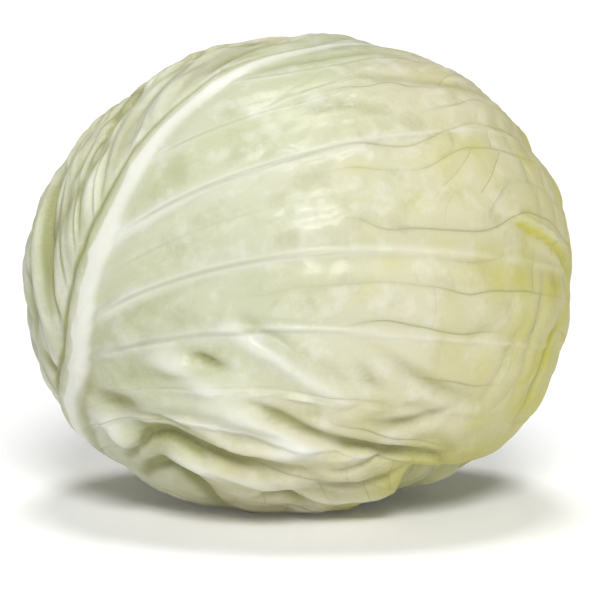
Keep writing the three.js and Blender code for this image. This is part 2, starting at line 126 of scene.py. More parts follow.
test_map = LeafMap(-20, 3)
there = test_map.to_direction(np.array([[30.0, 40.0]]))
print("a map point and back again:", np.round(test_map.to_plane(there), 3))

# %% [markdown]
# ## Curves
# A midrib and a leaf's edge are drawn as smooth curves through a few points, and a side rib is a
# simple bend with one control point. What shapes the surface is the distance from such a curve:
# a rib is high where that distance is small, and a crease is low there. It is an angle first, and
# turns into millimetres on a ball about as large as the head.


# %% Curves and distances
SPHERE = 80


def smooth(xs, ys, x):
    """A smooth curve through the values ys at xs, which never overshoots them."""
    xs = np.asarray(xs, float)
    ys = np.asarray(ys, float)
    x = np.asarray(x, float)
    slope = np.diff(ys) / np.diff(xs)
    before = np.concatenate([slope[:1], slope])
    after = np.concatenate([slope, slope[-1:]])
    total = np.where(before * after > 0, before + after, 1)
    lean = np.where(before * after > 0, 2 * before * after / total, 0)
    i = np.clip(np.searchsorted(xs, x) - 1, 0, len(xs) - 2)
    width = xs[i + 1] - xs[i]
    t = np.clip((x - xs[i]) / width, 0, 1)
    rise = 3 * t**2 - 2 * t**3
    start_lean = lean[i] * width * (t**3 - 2 * t**2 + t)
    end_lean = lean[i + 1] * width * (t**3 - t**2)
    return between(ys[i], ys[i + 1], rise) + start_lean + end_lean


def bend(start, by, end, t):
    """A curve from start to end that is drawn towards by."""
    t = np.asarray(t, float)[..., None]
    return (1 - t) ** 2 * np.asarray(start) + 2 * t * (1 - t) * np.asarray(by) + t**2 * np.asarray(end)


def nearest(curve, u):
    """How far directions are from a curve in millimetres, the share along it, and which side."""
    at = np.argmax(u @ curve.T, axis=1)
    last = len(curve) - 1
    run = curve[np.minimum(at + 1, last)] - curve[np.maximum(at - 1, 0)]
    away = u - curve[at]
    slide = np.clip((away * run).sum(1) / (run * run).sum(1), -0.5, 0.5)
    away = away - run * slide[:, None]
    off = np.linalg.norm(away, axis=1) * SPHERE
    side = np.sign((np.cross(u, run) * away).sum(1))
    return off, np.clip((at + 2 * slide) / last, 0, 1), side


print("halfway along a bend:", bend((0, 0), (1, 2), (2, 0), 0.5))

# %% [markdown]
# ## The head without its leaves' relief
# The real head isn't a perfect ball. It is longer than it is high, it swells at the heel beside
# the stem, it has a hollow where the stem is, and it is pressed flat where it rests. Slow waves
# keep the outline from looking turned on a lathe. A bump is given by its place, its spread in
# degrees and its rise, and a wave by its direction, its phase and its rise.

# %% The plain head
BUMPS = [
    [-78, -38, 24, 3], [-72, -54, 13, 3.2], [-88, 38, 26, -2.4], [88, -35, 24, 2.6],
    [-90, 20, 13, -1.8], [-90, -20, 10, 1.2], [-90, -42, 9, -1.5], [90, -42, 11, 1.2],
    [90, -10, 12, 1.1], [0, 86, 11, -1.2], [-90, 68, 9, 1.3],
]
STEM = {"lon": -100, "lat": -56, "radius": 14.5, "flare": 0.3, "stands": 1.5, "clearance": 0.6}
DIMPLE = {"spread": 16, "sink": 5}
SWELLS = [
    ([4.1, 1.7, -2.6], 1.1, 0.6),
    ([-2.2, 5.3, 3.1], 0.4, 0.5),
    ([3.3, -3.9, 6.2], 2.3, 0.5),
    ([9.5, 4.4, -7.1], 0.9, 0.3),
]
UNDERSIDE = -0.2
stem_axis = direction(STEM["lon"], STEM["lat"])


def degrees_from(axis, u):
    return np.arccos(np.clip(u @ axis, -1, 1)) / DEG


def head_radius(u):
    r = 1 / np.linalg.norm(u / np.array([LENGTH / 2, DEPTH / 2, HEIGHT / 2]), axis=1)
    for lon, lat, spread, rise in BUMPS:
        r = r + rise * bell(degrees_from(direction(lon, lat), u) / spread)
    r = r - DIMPLE["sink"] * bell(degrees_from(stem_axis, u) / DIMPLE["spread"])
    for wave, phase, rise in SWELLS:
        r = r + rise * np.sin(u @ np.array(wave) + phase)
    return r


def pressed(r, u, depth):
    """What is depth inside the skin stays depth above the surface that the head lies on."""
    below = u[:, 2] < UNDERSIDE
    down = np.where(below, -u[:, 2], 1)
    return np.where(below, np.minimum(r, (FLOOR_DROP - depth) / down), r)


print("radius at the front:", head_radius(direction(0, 0)[None]).round(1), "mm")

# %% [markdown]
# ## The leaves' outlines and ribs
# A wrapper leaf grows from the stem. Its midrib runs to its tip, and its side ribs leave the
# midrib in turn and bend towards the edge. So a leaf is a short table: points of the midrib, how
# far the edge reaches at each bearing, and for each side rib where it ends round the edge, where
# it starts along the midrib, and how strong it is on the right and on the left.

# %% The leaves' tables
OUTER_LEAF = {
    "lon": -20,
    "lat": 3,
    "midrib": [
        [-49, -73], [-52, -55], [-47, -33], [-38, -19], [-31, 1], [-26, 17],
        [-20, 34], [-13, 46], [-5, 59], [5, 70], [25, 90], [46, 109],
    ],
    "reach": [
        [-171, 116], [-159, 112], [-142, 102], [-124, 91], [-114, 94], [-103, 104], [-92, 110],
        [-81, 104], [-75, 92], [-71, 85], [-64, 79], [-56, 72], [-49, 70], [-44, 84], [-39, 100],
        [-30, 104], [-18, 107], [-8, 107], [2, 105], [20, 112], [37, 117], [58, 119], [80, 121],
        [103, 120], [126, 123], [150, 123], [172, 119],
    ],
    "ribs": [
        [0.1, 0.02, 0.3, 0.3], [0.2, 0.05, 0.4, 0.5], [0.31, 0.09, 0.35, 0.4], [0.41, 0.14, 1, 0.6],
        [0.49, 0.2, 0.3, 0.7], [0.575, 0.265, 1.2, 0.4], [0.655, 0.31, 1, 0.8], [0.73, 0.352, 0.3, 0.5],
        [0.8, 0.4, 1.1, 0.7], [0.885, 0.49, 0.4, 0.8], [0.94, 0.62, 0.5, 0.5], [0.975, 0.79, 0.3, 0.4],
    ],
}
SECOND_LEAF = {
    "lon": -170,
    "lat": 0,
    "midrib": [[42, -66], [31, -47], [15, -27], [-1, -5], [-13, 20], [-19, 46]],
    "reach": [
        [-175, 66], [-159, 76], [-145, 84], [-130, 90], [-110, 92], [-90, 88], [-76, 84], [-57, 82],
        [-46, 80], [-35, 78], [-20, 74], [0, 73], [20, 74], [40, 76], [62, 76], [80, 72], [97, 64],
        [113, 51], [128, 47], [144, 47], [168, 57],
    ],
    "ribs": [
        [0.13, 0.06, 0.8, 0.6], [0.27, 0.14, 1.1, 1], [0.41, 0.24, 0.9, 1.2], [0.55, 0.35, 1.2, 0.9],
        [0.68, 0.46, 1, 1.1], [0.8, 0.59, 0.8, 0.9], [0.91, 0.77, 0.7, 0.6],
    ],
}
THIRD_LEAF = {
    "lon": 95,
    "lat": -20,
    "midrib": [[15, -101], [-2, -72], [-8, -41], [-3, -15], [1, 10], [5, 30], [8, 42]],
    "reach": [
        [-175, 58], [-155, 62], [-138, 68], [-121, 76], [-100, 90], [-82, 105], [-67, 86], [-50, 70],
        [-26, 64], [7, 60], [25, 58], [38, 54], [55, 46], [68, 42], [79, 42], [95, 42], [110, 44],
        [125, 48], [141, 52], [167, 57],
    ],
    "ribs": [
        [0.15, 0.09, 0.7, 0.8], [0.32, 0.22, 1.1, 1], [0.48, 0.35, 0.9, 1.2], [0.63, 0.49, 1.1, 0.8],
        [0.77, 0.64, 0.8, 0.9], [0.9, 0.81, 0.6, 0.7],
    ],
}

print("points of the midribs:", [len(table["midrib"]) for table in (OUTER_LEAF, SECOND_LEAF, THIRD_LEAF)])

# %% [markdown]
# ## Growing a leaf
# A small class turns a table into curves on the head: the midrib, the waved edge, and a bend for
# each side rib. Every rib leaves the midrib at the same angle and ends where the table says. The
# mesh will follow the same bends between the ribs, so `rib_point` answers for any share.


# %% Growing a leaf from its table
RUFFLE = {"size": 1.1, "waves": 17}
SIDE_RIB = {"rise": 1.6, "edge_rise": 0.3, "half": 2.2, "edge_half": 0.9, "angle": 38, "bend": 0.45}
NEARBY = 0.03
CURVE_STEPS = 60


class Leaf:
    """A leaf's map, midrib, edge and side ribs."""

    def __init__(self, table):
        self.map = LeafMap(table["lon"], table["lat"])
        self.midrib = np.array(table["midrib"], float)
        steps = np.hypot(*np.diff(self.midrib, axis=0).T)
        self.lengths = np.concatenate([[0], np.cumsum(steps)])
        reach = np.array(table["reach"], float)
        self.angles = np.concatenate([reach[:, 0] - 360, reach[:, 0], reach[:, 0] + 360])
        self.reaches = np.tile(reach[:, 1], 3)
        self.ribs = table["ribs"]
        self.rounds = [0] + [rib[0] for rib in self.ribs] + [1]
        self.starts = [0] + [rib[1] for rib in self.ribs] + [1]
        first, last = (math.degrees(math.atan2(q, p)) for p, q in self.midrib[[0, -1]])
        self.stem_angle = first
        self.sweep = (last - first + 360) % 360
        share = np.linspace(0, 1, 2 * CURVE_STEPS + 1)
        t = np.linspace(0, 1, CURVE_STEPS + 1)
        self.midrib_curve = self.map.to_direction(self.midrib_at(share))
        self.edge_curve = self.map.to_direction(self.edge_at(np.linspace(-180, 180, 8 * CURVE_STEPS + 1)))
        self.rib_curves = []
        for k, side in enumerate((1, -1)):
            for rib in self.ribs:
                curve = self.map.to_direction(self.rib_point(side, np.full(len(t), rib[0]), t))
                self.rib_curves.append((rib[2 + k], curve))

    def midrib_at(self, share):
        at = np.asarray(share, float) * self.lengths[-1]
        return np.stack([smooth(self.lengths, self.midrib[:, k], at) for k in (0, 1)], -1)

    def edge_at(self, angle):
        ruffle = RUFFLE["size"] * np.sin(RUFFLE["waves"] * np.asarray(angle, float) * DEG)
        return polar(angle, smooth(self.angles, self.reaches, angle) + ruffle)

    def rib_point(self, side, w, t):
        """The point a share t of the way out along the rib that ends a share w of the way round."""
        share = smooth(self.rounds, self.starts, w)
        start = self.midrib_at(share)
        ahead = self.midrib_at(np.minimum(share + NEARBY, 1))
        run = ahead - self.midrib_at(np.maximum(share - NEARBY, 0))
        end = self.edge_at(self.stem_angle + w * (self.sweep if side > 0 else self.sweep - 360))
        heading = np.arctan2(run[..., 1], run[..., 0]) / DEG - side * SIDE_RIB["angle"]
        reach = SIDE_RIB["bend"] * np.hypot(*(np.moveaxis(end - start, -1, 0)))
        return bend(start, start + polar(heading, reach), end, t)

    def edge_angle(self, u):
        flat = self.map.to_plane(u)
        return np.arctan2(flat[:, 1], flat[:, 0]) / DEG

    def inside(self, u):
        """Degrees in from the leaf's edge, and less than 0 beyond it."""
        flat = self.map.to_plane(u)
        edge = self.edge_at(np.arctan2(flat[:, 1], flat[:, 0]) / DEG)
        off = nearest(self.edge_curve, u)[0] / SPHERE / DEG
        return np.where(np.hypot(*flat.T) < np.hypot(*edge.T), off, -off)


outer = Leaf(OUTER_LEAF)
second = Leaf(SECOND_LEAF)
third = Leaf(THIRD_LEAF)
for name, leaf in (("outer", outer), ("second", second), ("third", third)):
    length = round(leaf.lengths[-1] * SPHERE * DEG)
    print(name, "leaf: midrib", length, "mm long,", len(leaf.rib_curves), "ribs")

# %% [markdown]
# ## Folds
# The outer leaf was squeezed as it grew, so its lower half is folded: soft ridges and creases
# that run across the ribs. Each fold is a bend with a rise, which is negative for a crease, and a
# half width. The broad folds come first, and the narrow creases that sharpen them come second.
# Noise could fold a leaf too, but these folds are what makes this head look like itself, so each
# is placed. The leaves below give way to a crease, so that no leaf cuts through another.

# %% Folds
FOLDS = [
    ([5, -9], [14, -11], [28, -24], 3.6, 4.2),
    ([7, -7], [14, -9], [30, -22], -2.2, 2.8),
    ([-20, -15], [-7, -14], [0, -24], 3.2, 4.2),
    ([-2, -28], [9, -28], [21, -41], 3.2, 4.4),
    ([8, -26], [14, -30], [29, -39], -3.2, 2.6),
    ([-17, -34], [-8, -41], [15, -45], -2.8, 2.6),
    ([-36, -34], [-31, -38], [-26, -42], 3.6, 4.4),
    ([-23, -37], [-12, -32], [-8, -43], -2.8, 2.6),
    ([-32, -53], [-11, -34], [-13, -65], -2.8, 2.6),
    ([-20, -42], [-11, -42], [-5, -50], 2.6, 3.4),
    ([-7, -45], [3, -50], [21, -51], 2.2, 3.6),
    ([2, -60], [13, -50], [12, -68], -2.2, 2.6),
    ([27, -37], [33, -43], [54, -49], -2.6, 2.6),
    ([16, -50], [28, -61], [43, -52], -2.4, 2.6),
    ([14, -58], [27, -69], [41, -62], 2, 3.6),
    ([23, 61], [50, 66], [78, 74], -1.4, 2.6),
    ([15, 45], [26, 53], [39, 48], -1.4, 2.8),
    ([-40, 54], [-36, 45], [-40, 35], -2.1, 2.8),
    ([-45, 40], [-46, 32], [-44, 24], 1.8, 3),
    ([-53, 26], [-48, 12], [-43, 0], -2, 3),
    ([-52, 17], [-51, 4], [-45, -12], 2, 2.6),
    ([-54, -19], [-52, -22], [-48, -26], -2.1, 2.6),
    ([73, 20], [84, 14], [98, 5], 2.1, 2.4),
]
CREASES = [
    ([-7, -14], [-2, -16], [4, -17], -1.2, 2.4),
    ([-5, -14], [-2, -15], [3, -17], -1.8, 1.2),
    ([7, -7], [18, -11], [20, -16], -0.9, 1.5),
    ([9, -26], [16, -33], [23, -35], -1.4, 1.4),
    ([-12, -35], [-3, -43], [6, -45], -1.3, 1.4),
    ([-24, -31], [-15, -29], [-7, -35], -1.2, 1.2),
    ([-25, -33], [-23, -34], [-21, -34], -0.7, 1.1),
    ([-33, -46], [-26, -42], [-21, -36], -3, 1.5),
    ([-21, -37], [-12, -34], [-8, -42], -2.6, 1.4),
    ([-30, -52], [-13, -39], [-13, -62], -2.6, 1.5),
    ([3, -59], [12, -54], [12, -65], -2, 1.4),
    ([-1, -68], [5, -67], [7, -72], -1.2, 1.3),
    ([29, -39], [40, -46], [48, -45], -1.6, 1.2),
    ([48, -45], [52, -48], [55, -55], -1.3, 1.2),
    ([23, -45], [25, -51], [39, -45], -1.2, 1.3),
    ([25, -43], [29, -44], [37, -44], 1.8, 2.2),
    ([34, -32], [43, -37], [55, -32], -1.8, 2.4),
    ([32, -15], [35, -20], [38, -24], -1.4, 2),
    ([17, -45], [18, -48], [23, -52], -0.8, 1.3),
    ([-5, -46], [5, -52], [15, -53], 1.3, 2),
    ([-34, -27], [-27, -28], [-21, -28], -2.4, 3.4),
    ([-6, -34], [3, -41], [18, -39], 2, 2.6),
    ([49, -41], [54, -42], [60, -53], -0.7, 1.3),
    ([13, 36], [17, 34], [21, 38], 0.8, 1.4),
    ([27, 17], [30, 19], [33, 18], 0.8, 1.3),
    ([14, -5], [18, -4], [22, -6], 1, 1.3),
    ([15, -24], [19, -24], [24, -26], 1, 1.2),
    ([-44, 47], [-38, 37], [-38, 32], -1.8, 1.8),
    ([-42, 57], [-37, 46], [-41, 37], -2.1, 2),
    ([-42, 34], [-41, 27], [-43, 23], -1.5, 1.8),
    ([-54, 27], [-48, 15], [-42, -7], -2, 2.2),
    ([-50, 20], [-47, 4], [-44, -13], -1.4, 1.9),
    ([-58, 22], [-54, 4], [-58, -17], -1.8, 2.2),
    ([-33, 64], [-21, 74], [-2, 82], -1.8, 2.2),
    ([-14, 58], [-8, 74], [3, 80], -1.5, 2),
    ([1, 59], [17, 71], [45, 84], -1.3, 2.2),
    ([76, -8], [70, -21], [64, -32], -1, 1.6),
    ([94, -9], [86, -27], [77, -52], -1.7, 2),
    ([82, 4], [81, -14], [74, -38], -1, 1.8),
    ([72, 21], [83, 17], [99, 6.5], 2, 1.5),
    ([72, 19], [83, 15], [99, 4], -2.4, 1.1),
    ([38, -13], [49, -25], [64, -31], -1.3, 2.6),
]
FOLLOW = {"depth": 1.3, "width": 2.4}
DEEPEST = 5
fold_bends = []
for start, by, end, rise, half in FOLDS + CREASES:
    path = bend(start, by, end, np.linspace(0, 1, CURVE_STEPS // 2 + 1))
    fold_bends.append((outer.map.to_direction(path), rise, half))


def folded(u, below):
    """What the folds add to the outer leaf's radius, or how far what is below it gives way."""
    ridges = np.zeros(len(u))
    creases = np.zeros(len(u))
    deeper, wider = (FOLLOW["depth"], FOLLOW["width"]) if below else (1, 1)
    for curve, rise, half in fold_bends:
        off, along, _ = nearest(curve, u)
        swell = rise * np.sin(math.pi * between(0.1, 0.9, along)) * bell(off / half / wider)
        ridges += np.maximum(swell, 0)
        creases += deeper * np.minimum(swell, 0)
    creases = DEEPEST * np.tanh(creases / DEEPEST)
    return creases if below else ridges + creases


print(len(fold_bends), "folds and creases")

# %% [markdown]
# ## Ribs and pillows
# A rib stands out from its leaf, thick at the stem and thin at the edge. The midrib is steep on
# its left and eases down on its right, with a groove along its steep side. Its crest is pale, with a
# painted highlight, and its left flank gets painted shade in olive. Between ribs the leaf is held
# less tightly and swells a little.


# %% Ribs and swellings
MIDRIB = {"rise": 4.8, "tip_rise": 0.4, "half": 7.4, "tip_half": 1.4, "ease": 1.25}
PILLOW = {"rise": 1.4, "reach": 9}
GROOVE = {"depth": 0.6, "off": 1.3, "half": 0.3, "right_share": 0.35}
RIB_BAND = 2.4
# Where the pale crest with its painted highlight lies, and the painted shade in olive on the midrib's left
# flank.
CREST = {"at": 0.3, "left_half": 0.5, "right_half": 0.8}
FLANK_SHADE = {"at": 0.85, "half": 0.42, "strength": 1.3}


def relief(leaf, u):
    """A leaf's midrib, side ribs and swelling, the groove by the midrib, and how pale it is, with a painted
    highlight on the midrib's crest and painted shade on its left flank.
    """
    off, along, side = nearest(leaf.midrib_curve, u)
    half = between(MIDRIB["half"], MIDRIB["tip_half"], along**0.7)
    rise = between(MIDRIB["rise"], MIDRIB["tip_rise"], along**0.9)
    steep = np.exp(-((off / half) ** 4))
    easy = np.exp(-((off / half / MIDRIB["ease"]) ** 2))
    midrib = rise * np.where(side > 0, steep, easy)
    from_crest = -side * off / half - CREST["at"]
    crest_half = np.where(from_crest < 0, CREST["left_half"], CREST["right_half"])
    thick = (rise / MIDRIB["rise"]) ** 0.45
    # The crest is pale, the rib's own colour with a painted highlight, and the left flank gets painted
    # shade.
    pale_and_painted_light = bell(from_crest / crest_half) * thick
    pale_and_painted_light = pale_and_painted_light + 0.4 * bell(off / half / RIB_BAND) * (side <= 0) * (1 - along)
    pale_and_painted_light = pale_and_painted_light - FLANK_SHADE["strength"] * bell((from_crest + FLANK_SHADE["at"]) / FLANK_SHADE["half"]) * thick
    groove = np.exp(-(((off / half - GROOVE["off"]) / GROOVE["half"]) ** 2)) * (1 - along) ** 0.5
    groove = groove * np.where(side > 0, 1, GROOVE["right_share"])
    clear = off
    ribs = np.zeros(len(u))
    band = np.zeros(len(u))
    for strength, curve in leaf.rib_curves:
        off, along, _ = nearest(curve, u)
        half = between(SIDE_RIB["half"], SIDE_RIB["edge_half"], along**0.6)
        rise = strength * between(SIDE_RIB["rise"], SIDE_RIB["edge_rise"], along)
        ribs = np.maximum(ribs, rise * np.exp(-((off / half) ** 2)))
        band = np.maximum(band, min(strength, 1) * bell(off / half / RIB_BAND) * (1 - 0.6 * along))
        clear = np.minimum(clear, off + PILLOW["reach"] * (1 - min(strength, 1)))
    pillow = PILLOW["rise"] * soft_step(0, PILLOW["reach"], clear)
    return midrib, ribs, pillow, groove, pale_and_painted_light + 0.35 * band


on_midrib = relief(outer, outer.midrib_curve[::30])[0]
print("the midrib stands out by", on_midrib.round(1), "mm from the stem to the tip")

# %% [markdown]
# ## How the leaves lie on each other
# A leaf lies one layer above what it covers, and what is covered sinks by a layer. Beyond an edge
# the sinking fades out slowly, as a leaf can't bend sharply. Ribs and folds are pressed flat just
# before they pass under another leaf, and only a leaf's uncovered edge is lifted and waved.

# %% Layers
LEAF_THICKNESS = 1.1
LEAF_GAP = 0.8
LAYER = LEAF_THICKNESS + LEAF_GAP
THINNEST = 0.75
SETTLE = 24
TUCK = 7
EDGE_LIFT = {"rise": 1.4, "width": 9, "wave": 0.5, "waves": 23}
THIN_EDGE = 6


def layers_over(leaves, u):
    """How many layers lie over a direction: in full under a leaf, fading beyond its edge."""
    return sum((soft_step(-SETTLE, -1, leaf.inside(u)) for leaf in leaves), np.zeros(len(u)))


def leaf_radii(leaf, over, u):
    """The outer and inner radius of a leaf, and numbers that its finish uses."""
    layers = layers_over(over, u)
    shown = np.ones(len(u))
    for upper in over:
        shown = np.minimum(shown, 1 - soft_step(-TUCK, 0, upper.inside(u)))
    inside = leaf.inside(u)
    wave = 1 + EDGE_LIFT["wave"] * np.sin(EDGE_LIFT["waves"] * leaf.edge_angle(u) * DEG)
    lift = EDGE_LIFT["rise"] * wave * (1 - soft_step(0, EDGE_LIFT["width"], inside)) * shown
    midrib, ribs, pillow, groove, pale_and_painted_light = relief(leaf, u)
    free = shown * soft_step(-0.5, 5, inside)
    plain = head_radius(u) - LAYER * layers - LEAF_THICKNESS + lift + pillow * free
    folds = folded(u, leaf is not outer)
    soft_folds = between(folds, folded(u, True), soft_step(2, THIN_EDGE, inside))
    thickness = between(THINNEST, LEAF_THICKNESS, soft_step(0, THIN_EDGE, inside))
    thickness = thickness + (np.hypot(midrib, ribs) - GROOVE["depth"] * groove) * free
    return {
        "outer": pressed(plain + folds + thickness, u, LAYER * layers),
        "inner": pressed(plain + soft_folds, u, LAYER * layers + LEAF_THICKNESS),
        "inside": inside,
        "groove": groove * free,
        "pale_and_painted_light": pale_and_painted_light * free,
        "free": free,
        "ribs": ribs * free,
        "folds": folds,
    }


sample = leaf_radii(outer, [], outer.map.to_direction(np.array([[0.0, 0.0], [-31.0, 1.0]])))
print("outer leaf's radius beside and on the midrib:", sample["outer"].round(1), "mm")

# %% [markdown]
# ## A leaf as a mesh
# The mesh of a leaf follows its ribs: rows run from the midrib out to the edge, as the ribs do.
# So each rib lies along an edge of the mesh, and the numbers of the rows and columns tell the
# finish where the veins are. The outer face is fine, because it is seen. The inner face is
# coarse, and a rim joins the two, so the leaf is a closed sheet with a real thickness.
#
# Four corners that don't lie flat can be split in two ways. We split along the diagonal whose
# ends are more level, or a crease that crosses the rows would look like the teeth of a comb.


# %% Rows and columns of a leaf
FIRST_ROW = 0.02
TOWARDS_BASE = 1.2
GATHER = {"rows": 0.55, "right": 0.4, "left": 0.5}


def gathered(even, share):
    """Numbers drawn towards the whole ones, in full at a share of 1."""
    return even - share * np.sin(2 * math.pi * even) / (2 * math.pi)


def row_shares(leaf, rows):
    """Shares of the way round the edge, closer together near the ribs and near the leaf's base."""
    even = np.interp(np.linspace(0, 1, rows) ** TOWARDS_BASE, leaf.rounds, np.arange(len(leaf.rounds)))
    even = gathered(even, GATHER["rows"])
    shares = np.interp(even, np.arange(len(leaf.rounds)), leaf.rounds)
    clear = shares > FIRST_ROW
    return even[clear], shares[clear]


print("nine rows would end at these shares of the edge:", row_shares(outer, 9)[1].round(2))

# %% [markdown]
# ## The sheet
# The rows of both halves share the midrib's corners and end together at the leaf's tip, so the
# two halves are one sheet. Each corner also keeps where it is in the grid: its row, how far out,
# which side, how far apart the rows are there and how long its row is. The stem passes through
# a round hole, and the corners beside it are moved to the hole's edge, so that it is round.


# %% A sheet of corners and triangles
class Sheet:
    """A grid of directions over a leaf, as triangles, without what lies in the stem's hole."""

    def __init__(self, leaf, rows, right, left):
        self.leaf = leaf
        even, shares = row_shares(leaf, rows)
        sides = (
            (1, gathered(np.linspace(0, 1, right), GATHER["right"])),
            (-1, gathered(np.linspace(0, 1, left), GATHER["left"])),
        )
        points = []
        grid = []
        number = {}
        count = 0
        for side, columns in sides:
            w, t = np.meshgrid(shares, columns, indexing="ij")
            flat = leaf.rib_point(side, w.ravel(), t.ravel()).reshape(w.shape + (2,))
            ids = np.arange(w.size).reshape(w.shape) + count
            count += w.size
            points.append(flat.reshape(-1, 2))
            along = np.meshgrid(even, columns, indexing="ij")[0]
            step = np.linalg.norm(np.gradient(flat, axis=0), axis=-1) / np.gradient(even)[:, None]
            run = np.linalg.norm(np.diff(flat, axis=1), axis=-1).sum(1)[:, None] + 0 * t
            grid.append(np.stack([along, t, 0 * t + side, step * SPHERE * DEG, run * SPHERE * DEG], -1))
            number[side] = ids
        number[-1][:, 0] = number[1][:, 0]
        self.tip = number[1][-1, 0]
        for side in (1, -1):
            number[side][-1, :] = self.tip
        self.u = leaf.map.to_direction(np.concatenate(points))
        self.grid = np.concatenate([part.reshape(-1, 5) for part in grid])
        quads = []
        for side in (1, -1):
            ids = number[side]
            ring = [ids[:-1, :-1], ids[:-1, 1:], ids[1:, 1:], ids[1:, :-1]]
            quads.append(np.stack([corner.ravel() for corner in ring[::side]], -1))
        self.clean(np.concatenate(quads))

    def clean(self, quads):
        """Drops flat triangles and those in the stem's hole, and squares up the hole's edge."""
        hole = (STEM["radius"] + STEM["flare"] + STEM["clearance"]) / SPHERE / DEG
        away = degrees_from(stem_axis, self.u)
        halves = quads[:, [0, 1, 2]], quads[:, [0, 2, 3]]
        keep = []
        for t in halves:
            flat = (t[:, 0] == t[:, 1]) | (t[:, 1] == t[:, 2]) | (t[:, 2] == t[:, 0])
            keep.append(~flat & (away[t].max(1) > hole))
        whole = keep[0] & keep[1]
        singles = np.concatenate([t[kept & ~whole] for t, kept in zip(halves, keep)])
        t = np.concatenate([halves[0][keep[0]], halves[1][keep[1]]])
        moved = np.unique(t[away[t] < hole])
        level = self.u[moved] - np.outer(self.u[moved] @ stem_axis, stem_axis)
        level /= np.linalg.norm(level, axis=1)[:, None]
        self.u[moved] = math.cos(hole * DEG) * stem_axis + math.sin(hole * DEG) * level
        used = np.unique(t)
        renumber = np.full(len(self.u), -1)
        renumber[used] = np.arange(len(used))
        self.u = self.u[used]
        self.grid = self.grid[used]
        self.quads = renumber[quads[whole]]
        self.singles = renumber[singles]
        self.tip = renumber[self.tip]

    def triangles(self, height):
        """Each patch of four corners is split so that the split is as level as it can be."""
        a, b, c, d = self.quads.T
        turned = np.abs(height[b] - height[d]) < np.abs(height[a] - height[c])
        first = np.stack([a, b, np.where(turned, d, c)], -1)
        other = np.stack([np.where(turned, b, a), c, d], -1)
        return np.concatenate([self.singles, first, other])

    def rim(self):
        """The corners round the sheet in order, from the tip of the leaf."""
        t = self.triangles(np.zeros(len(self.u)))
        edges = np.concatenate([t[:, [0, 1]], t[:, [1, 2]], t[:, [2, 0]]])
        known = set(map(tuple, edges))
        onward = {a: b for a, b in known if (b, a) not in known}
        loop = [self.tip]
        while onward[loop[-1]] != self.tip:
            loop.append(onward[loop[-1]])
        return np.array(loop)


trial = Sheet(outer, 60, 30, 20)
print("a coarse trial sheet:", len(trial.u), "corners,", len(trial.rim()), "round the rim")

# %% [markdown]
# ## Closing the sheet
# The fine and the coarse face have different numbers of corners round their rims. We walk round
# both at once and always close the shorter diagonal, which keeps the rim's triangles neat.


# %% Meshes in metres
def placed(u, r):
    return (CENTRE + u * r[:, None]) / 1000


def bridge(points, loop_a, loop_b):
    """Triangles between two loops of corners that start beside each other and run the same way."""
    a = np.append(loop_a, loop_a[0])
    b = np.append(loop_b, loop_b[0])
    pa = points[a]
    pb = points[b]
    made = []
    i = 0
    k = 0
    while i < len(a) - 1 or k < len(b) - 1:
        step_a = np.linalg.norm(pa[i + 1] - pb[k]) if i < len(a) - 1 else np.inf
        step_b = np.linalg.norm(pb[k + 1] - pa[i]) if k < len(b) - 1 else np.inf
        if step_a <= step_b:
            made.append((a[i + 1], a[i], b[k]))
            i += 1
        else:
            made.append((a[i], b[k], b[k + 1]))
            k += 1
    return np.array(made)


def mesh_piece(name, points, triangles, numbers=None):
    """A smooth-shaded piece, with named numbers on its corners for the finish to read."""
    mesh = bpy.data.meshes.new(name)
    mesh.vertices.add(len(points))
    mesh.vertices.foreach_set("co", np.asarray(points, np.float32).ravel())
    mesh.loops.add(3 * len(triangles))
    mesh.loops.foreach_set("vertex_index", np.asarray(triangles, np.int32).ravel())
    mesh.polygons.add(len(triangles))
    mesh.polygons.foreach_set("loop_start", np.arange(0, 3 * len(triangles), 3, dtype=np.int32))
    mesh.polygons.foreach_set("use_smooth", np.ones(len(triangles), bool))
    mesh.update(calc_edges=True)
    for key, values in (numbers or {}).items():
        layer = mesh.attributes.new(key, "FLOAT_VECTOR", "POINT")
        layer.data.foreach_set("vector", np.asarray(values, np.float32).ravel())
    piece = bpy.data.objects.new(name, mesh)
    bpy.context.scene.collection.objects.link(piece)
    return piece


joined = bridge(trial.u * SPHERE, trial.rim(), trial.rim())
print("a trial rim takes", len(joined), "triangles")

# %% [markdown]
# ## Noise that folds
# A leaf is never quite regular. Random numbers on a lattice, blended from point to point, give
# slow random waves, and a seed makes them the same each time. Folded up at its middle value, such
# a wave turns into plump folds with sharp creases between them, which is how a thin leaf buckles.


# %% Noise and pinched folds
LATTICE = 32
BUCKLING = 2.25


def speckled(at, seed):
    """Smooth random values from 0 to 1, one for each point of a lattice and blended between."""
    values = np.random.default_rng(seed).random((LATTICE, LATTICE, LATTICE))
    cell = np.floor(at).astype(int)
    blend = soft_step(0, 1, at - cell)
    total = np.zeros(len(at))
    for corner in np.ndindex(2, 2, 2):
        share = np.prod(np.where(np.array(corner) == 1, blend, 1 - blend), axis=1)
        x, y, z = ((cell + corner) % LATTICE).T
        total += share * values[x, y, z]
    return total


def pinched(at, seed, soft):
    """Plump folds with sharp creases between them, and where those creases are."""
    value = 2 * BUCKLING * speckled(at, seed) - BUCKLING
    return np.sqrt(value**2 + soft**2) - 0.5, bell(value / (0.2 + soft))


print("noise at two points:", speckled(np.array([[0.5, 0.5, 0.5], [7.2, 3.1, 9.9]]), 1).round(3))

# %% [markdown]
# ## Crumple
# Left of the midrib the leaf is gathered into folds along its ribs, and right of it only a little.
# The lower half is squeezed as well, and buckles at a slant. Where the rows of the mesh lie far
# apart, narrow folds would turn into steps, so a broader pattern takes over there.

# %% Crumple
CRUMPLE = {"left": 1.15, "right": 0.25, "all_over": 0.24, "length": 26, "narrow": 1.5, "broad": 3.2}
BUCKLE = {"slant": -32, "length": 17, "width": 6.5, "rise": 0.7, "bow": 8}


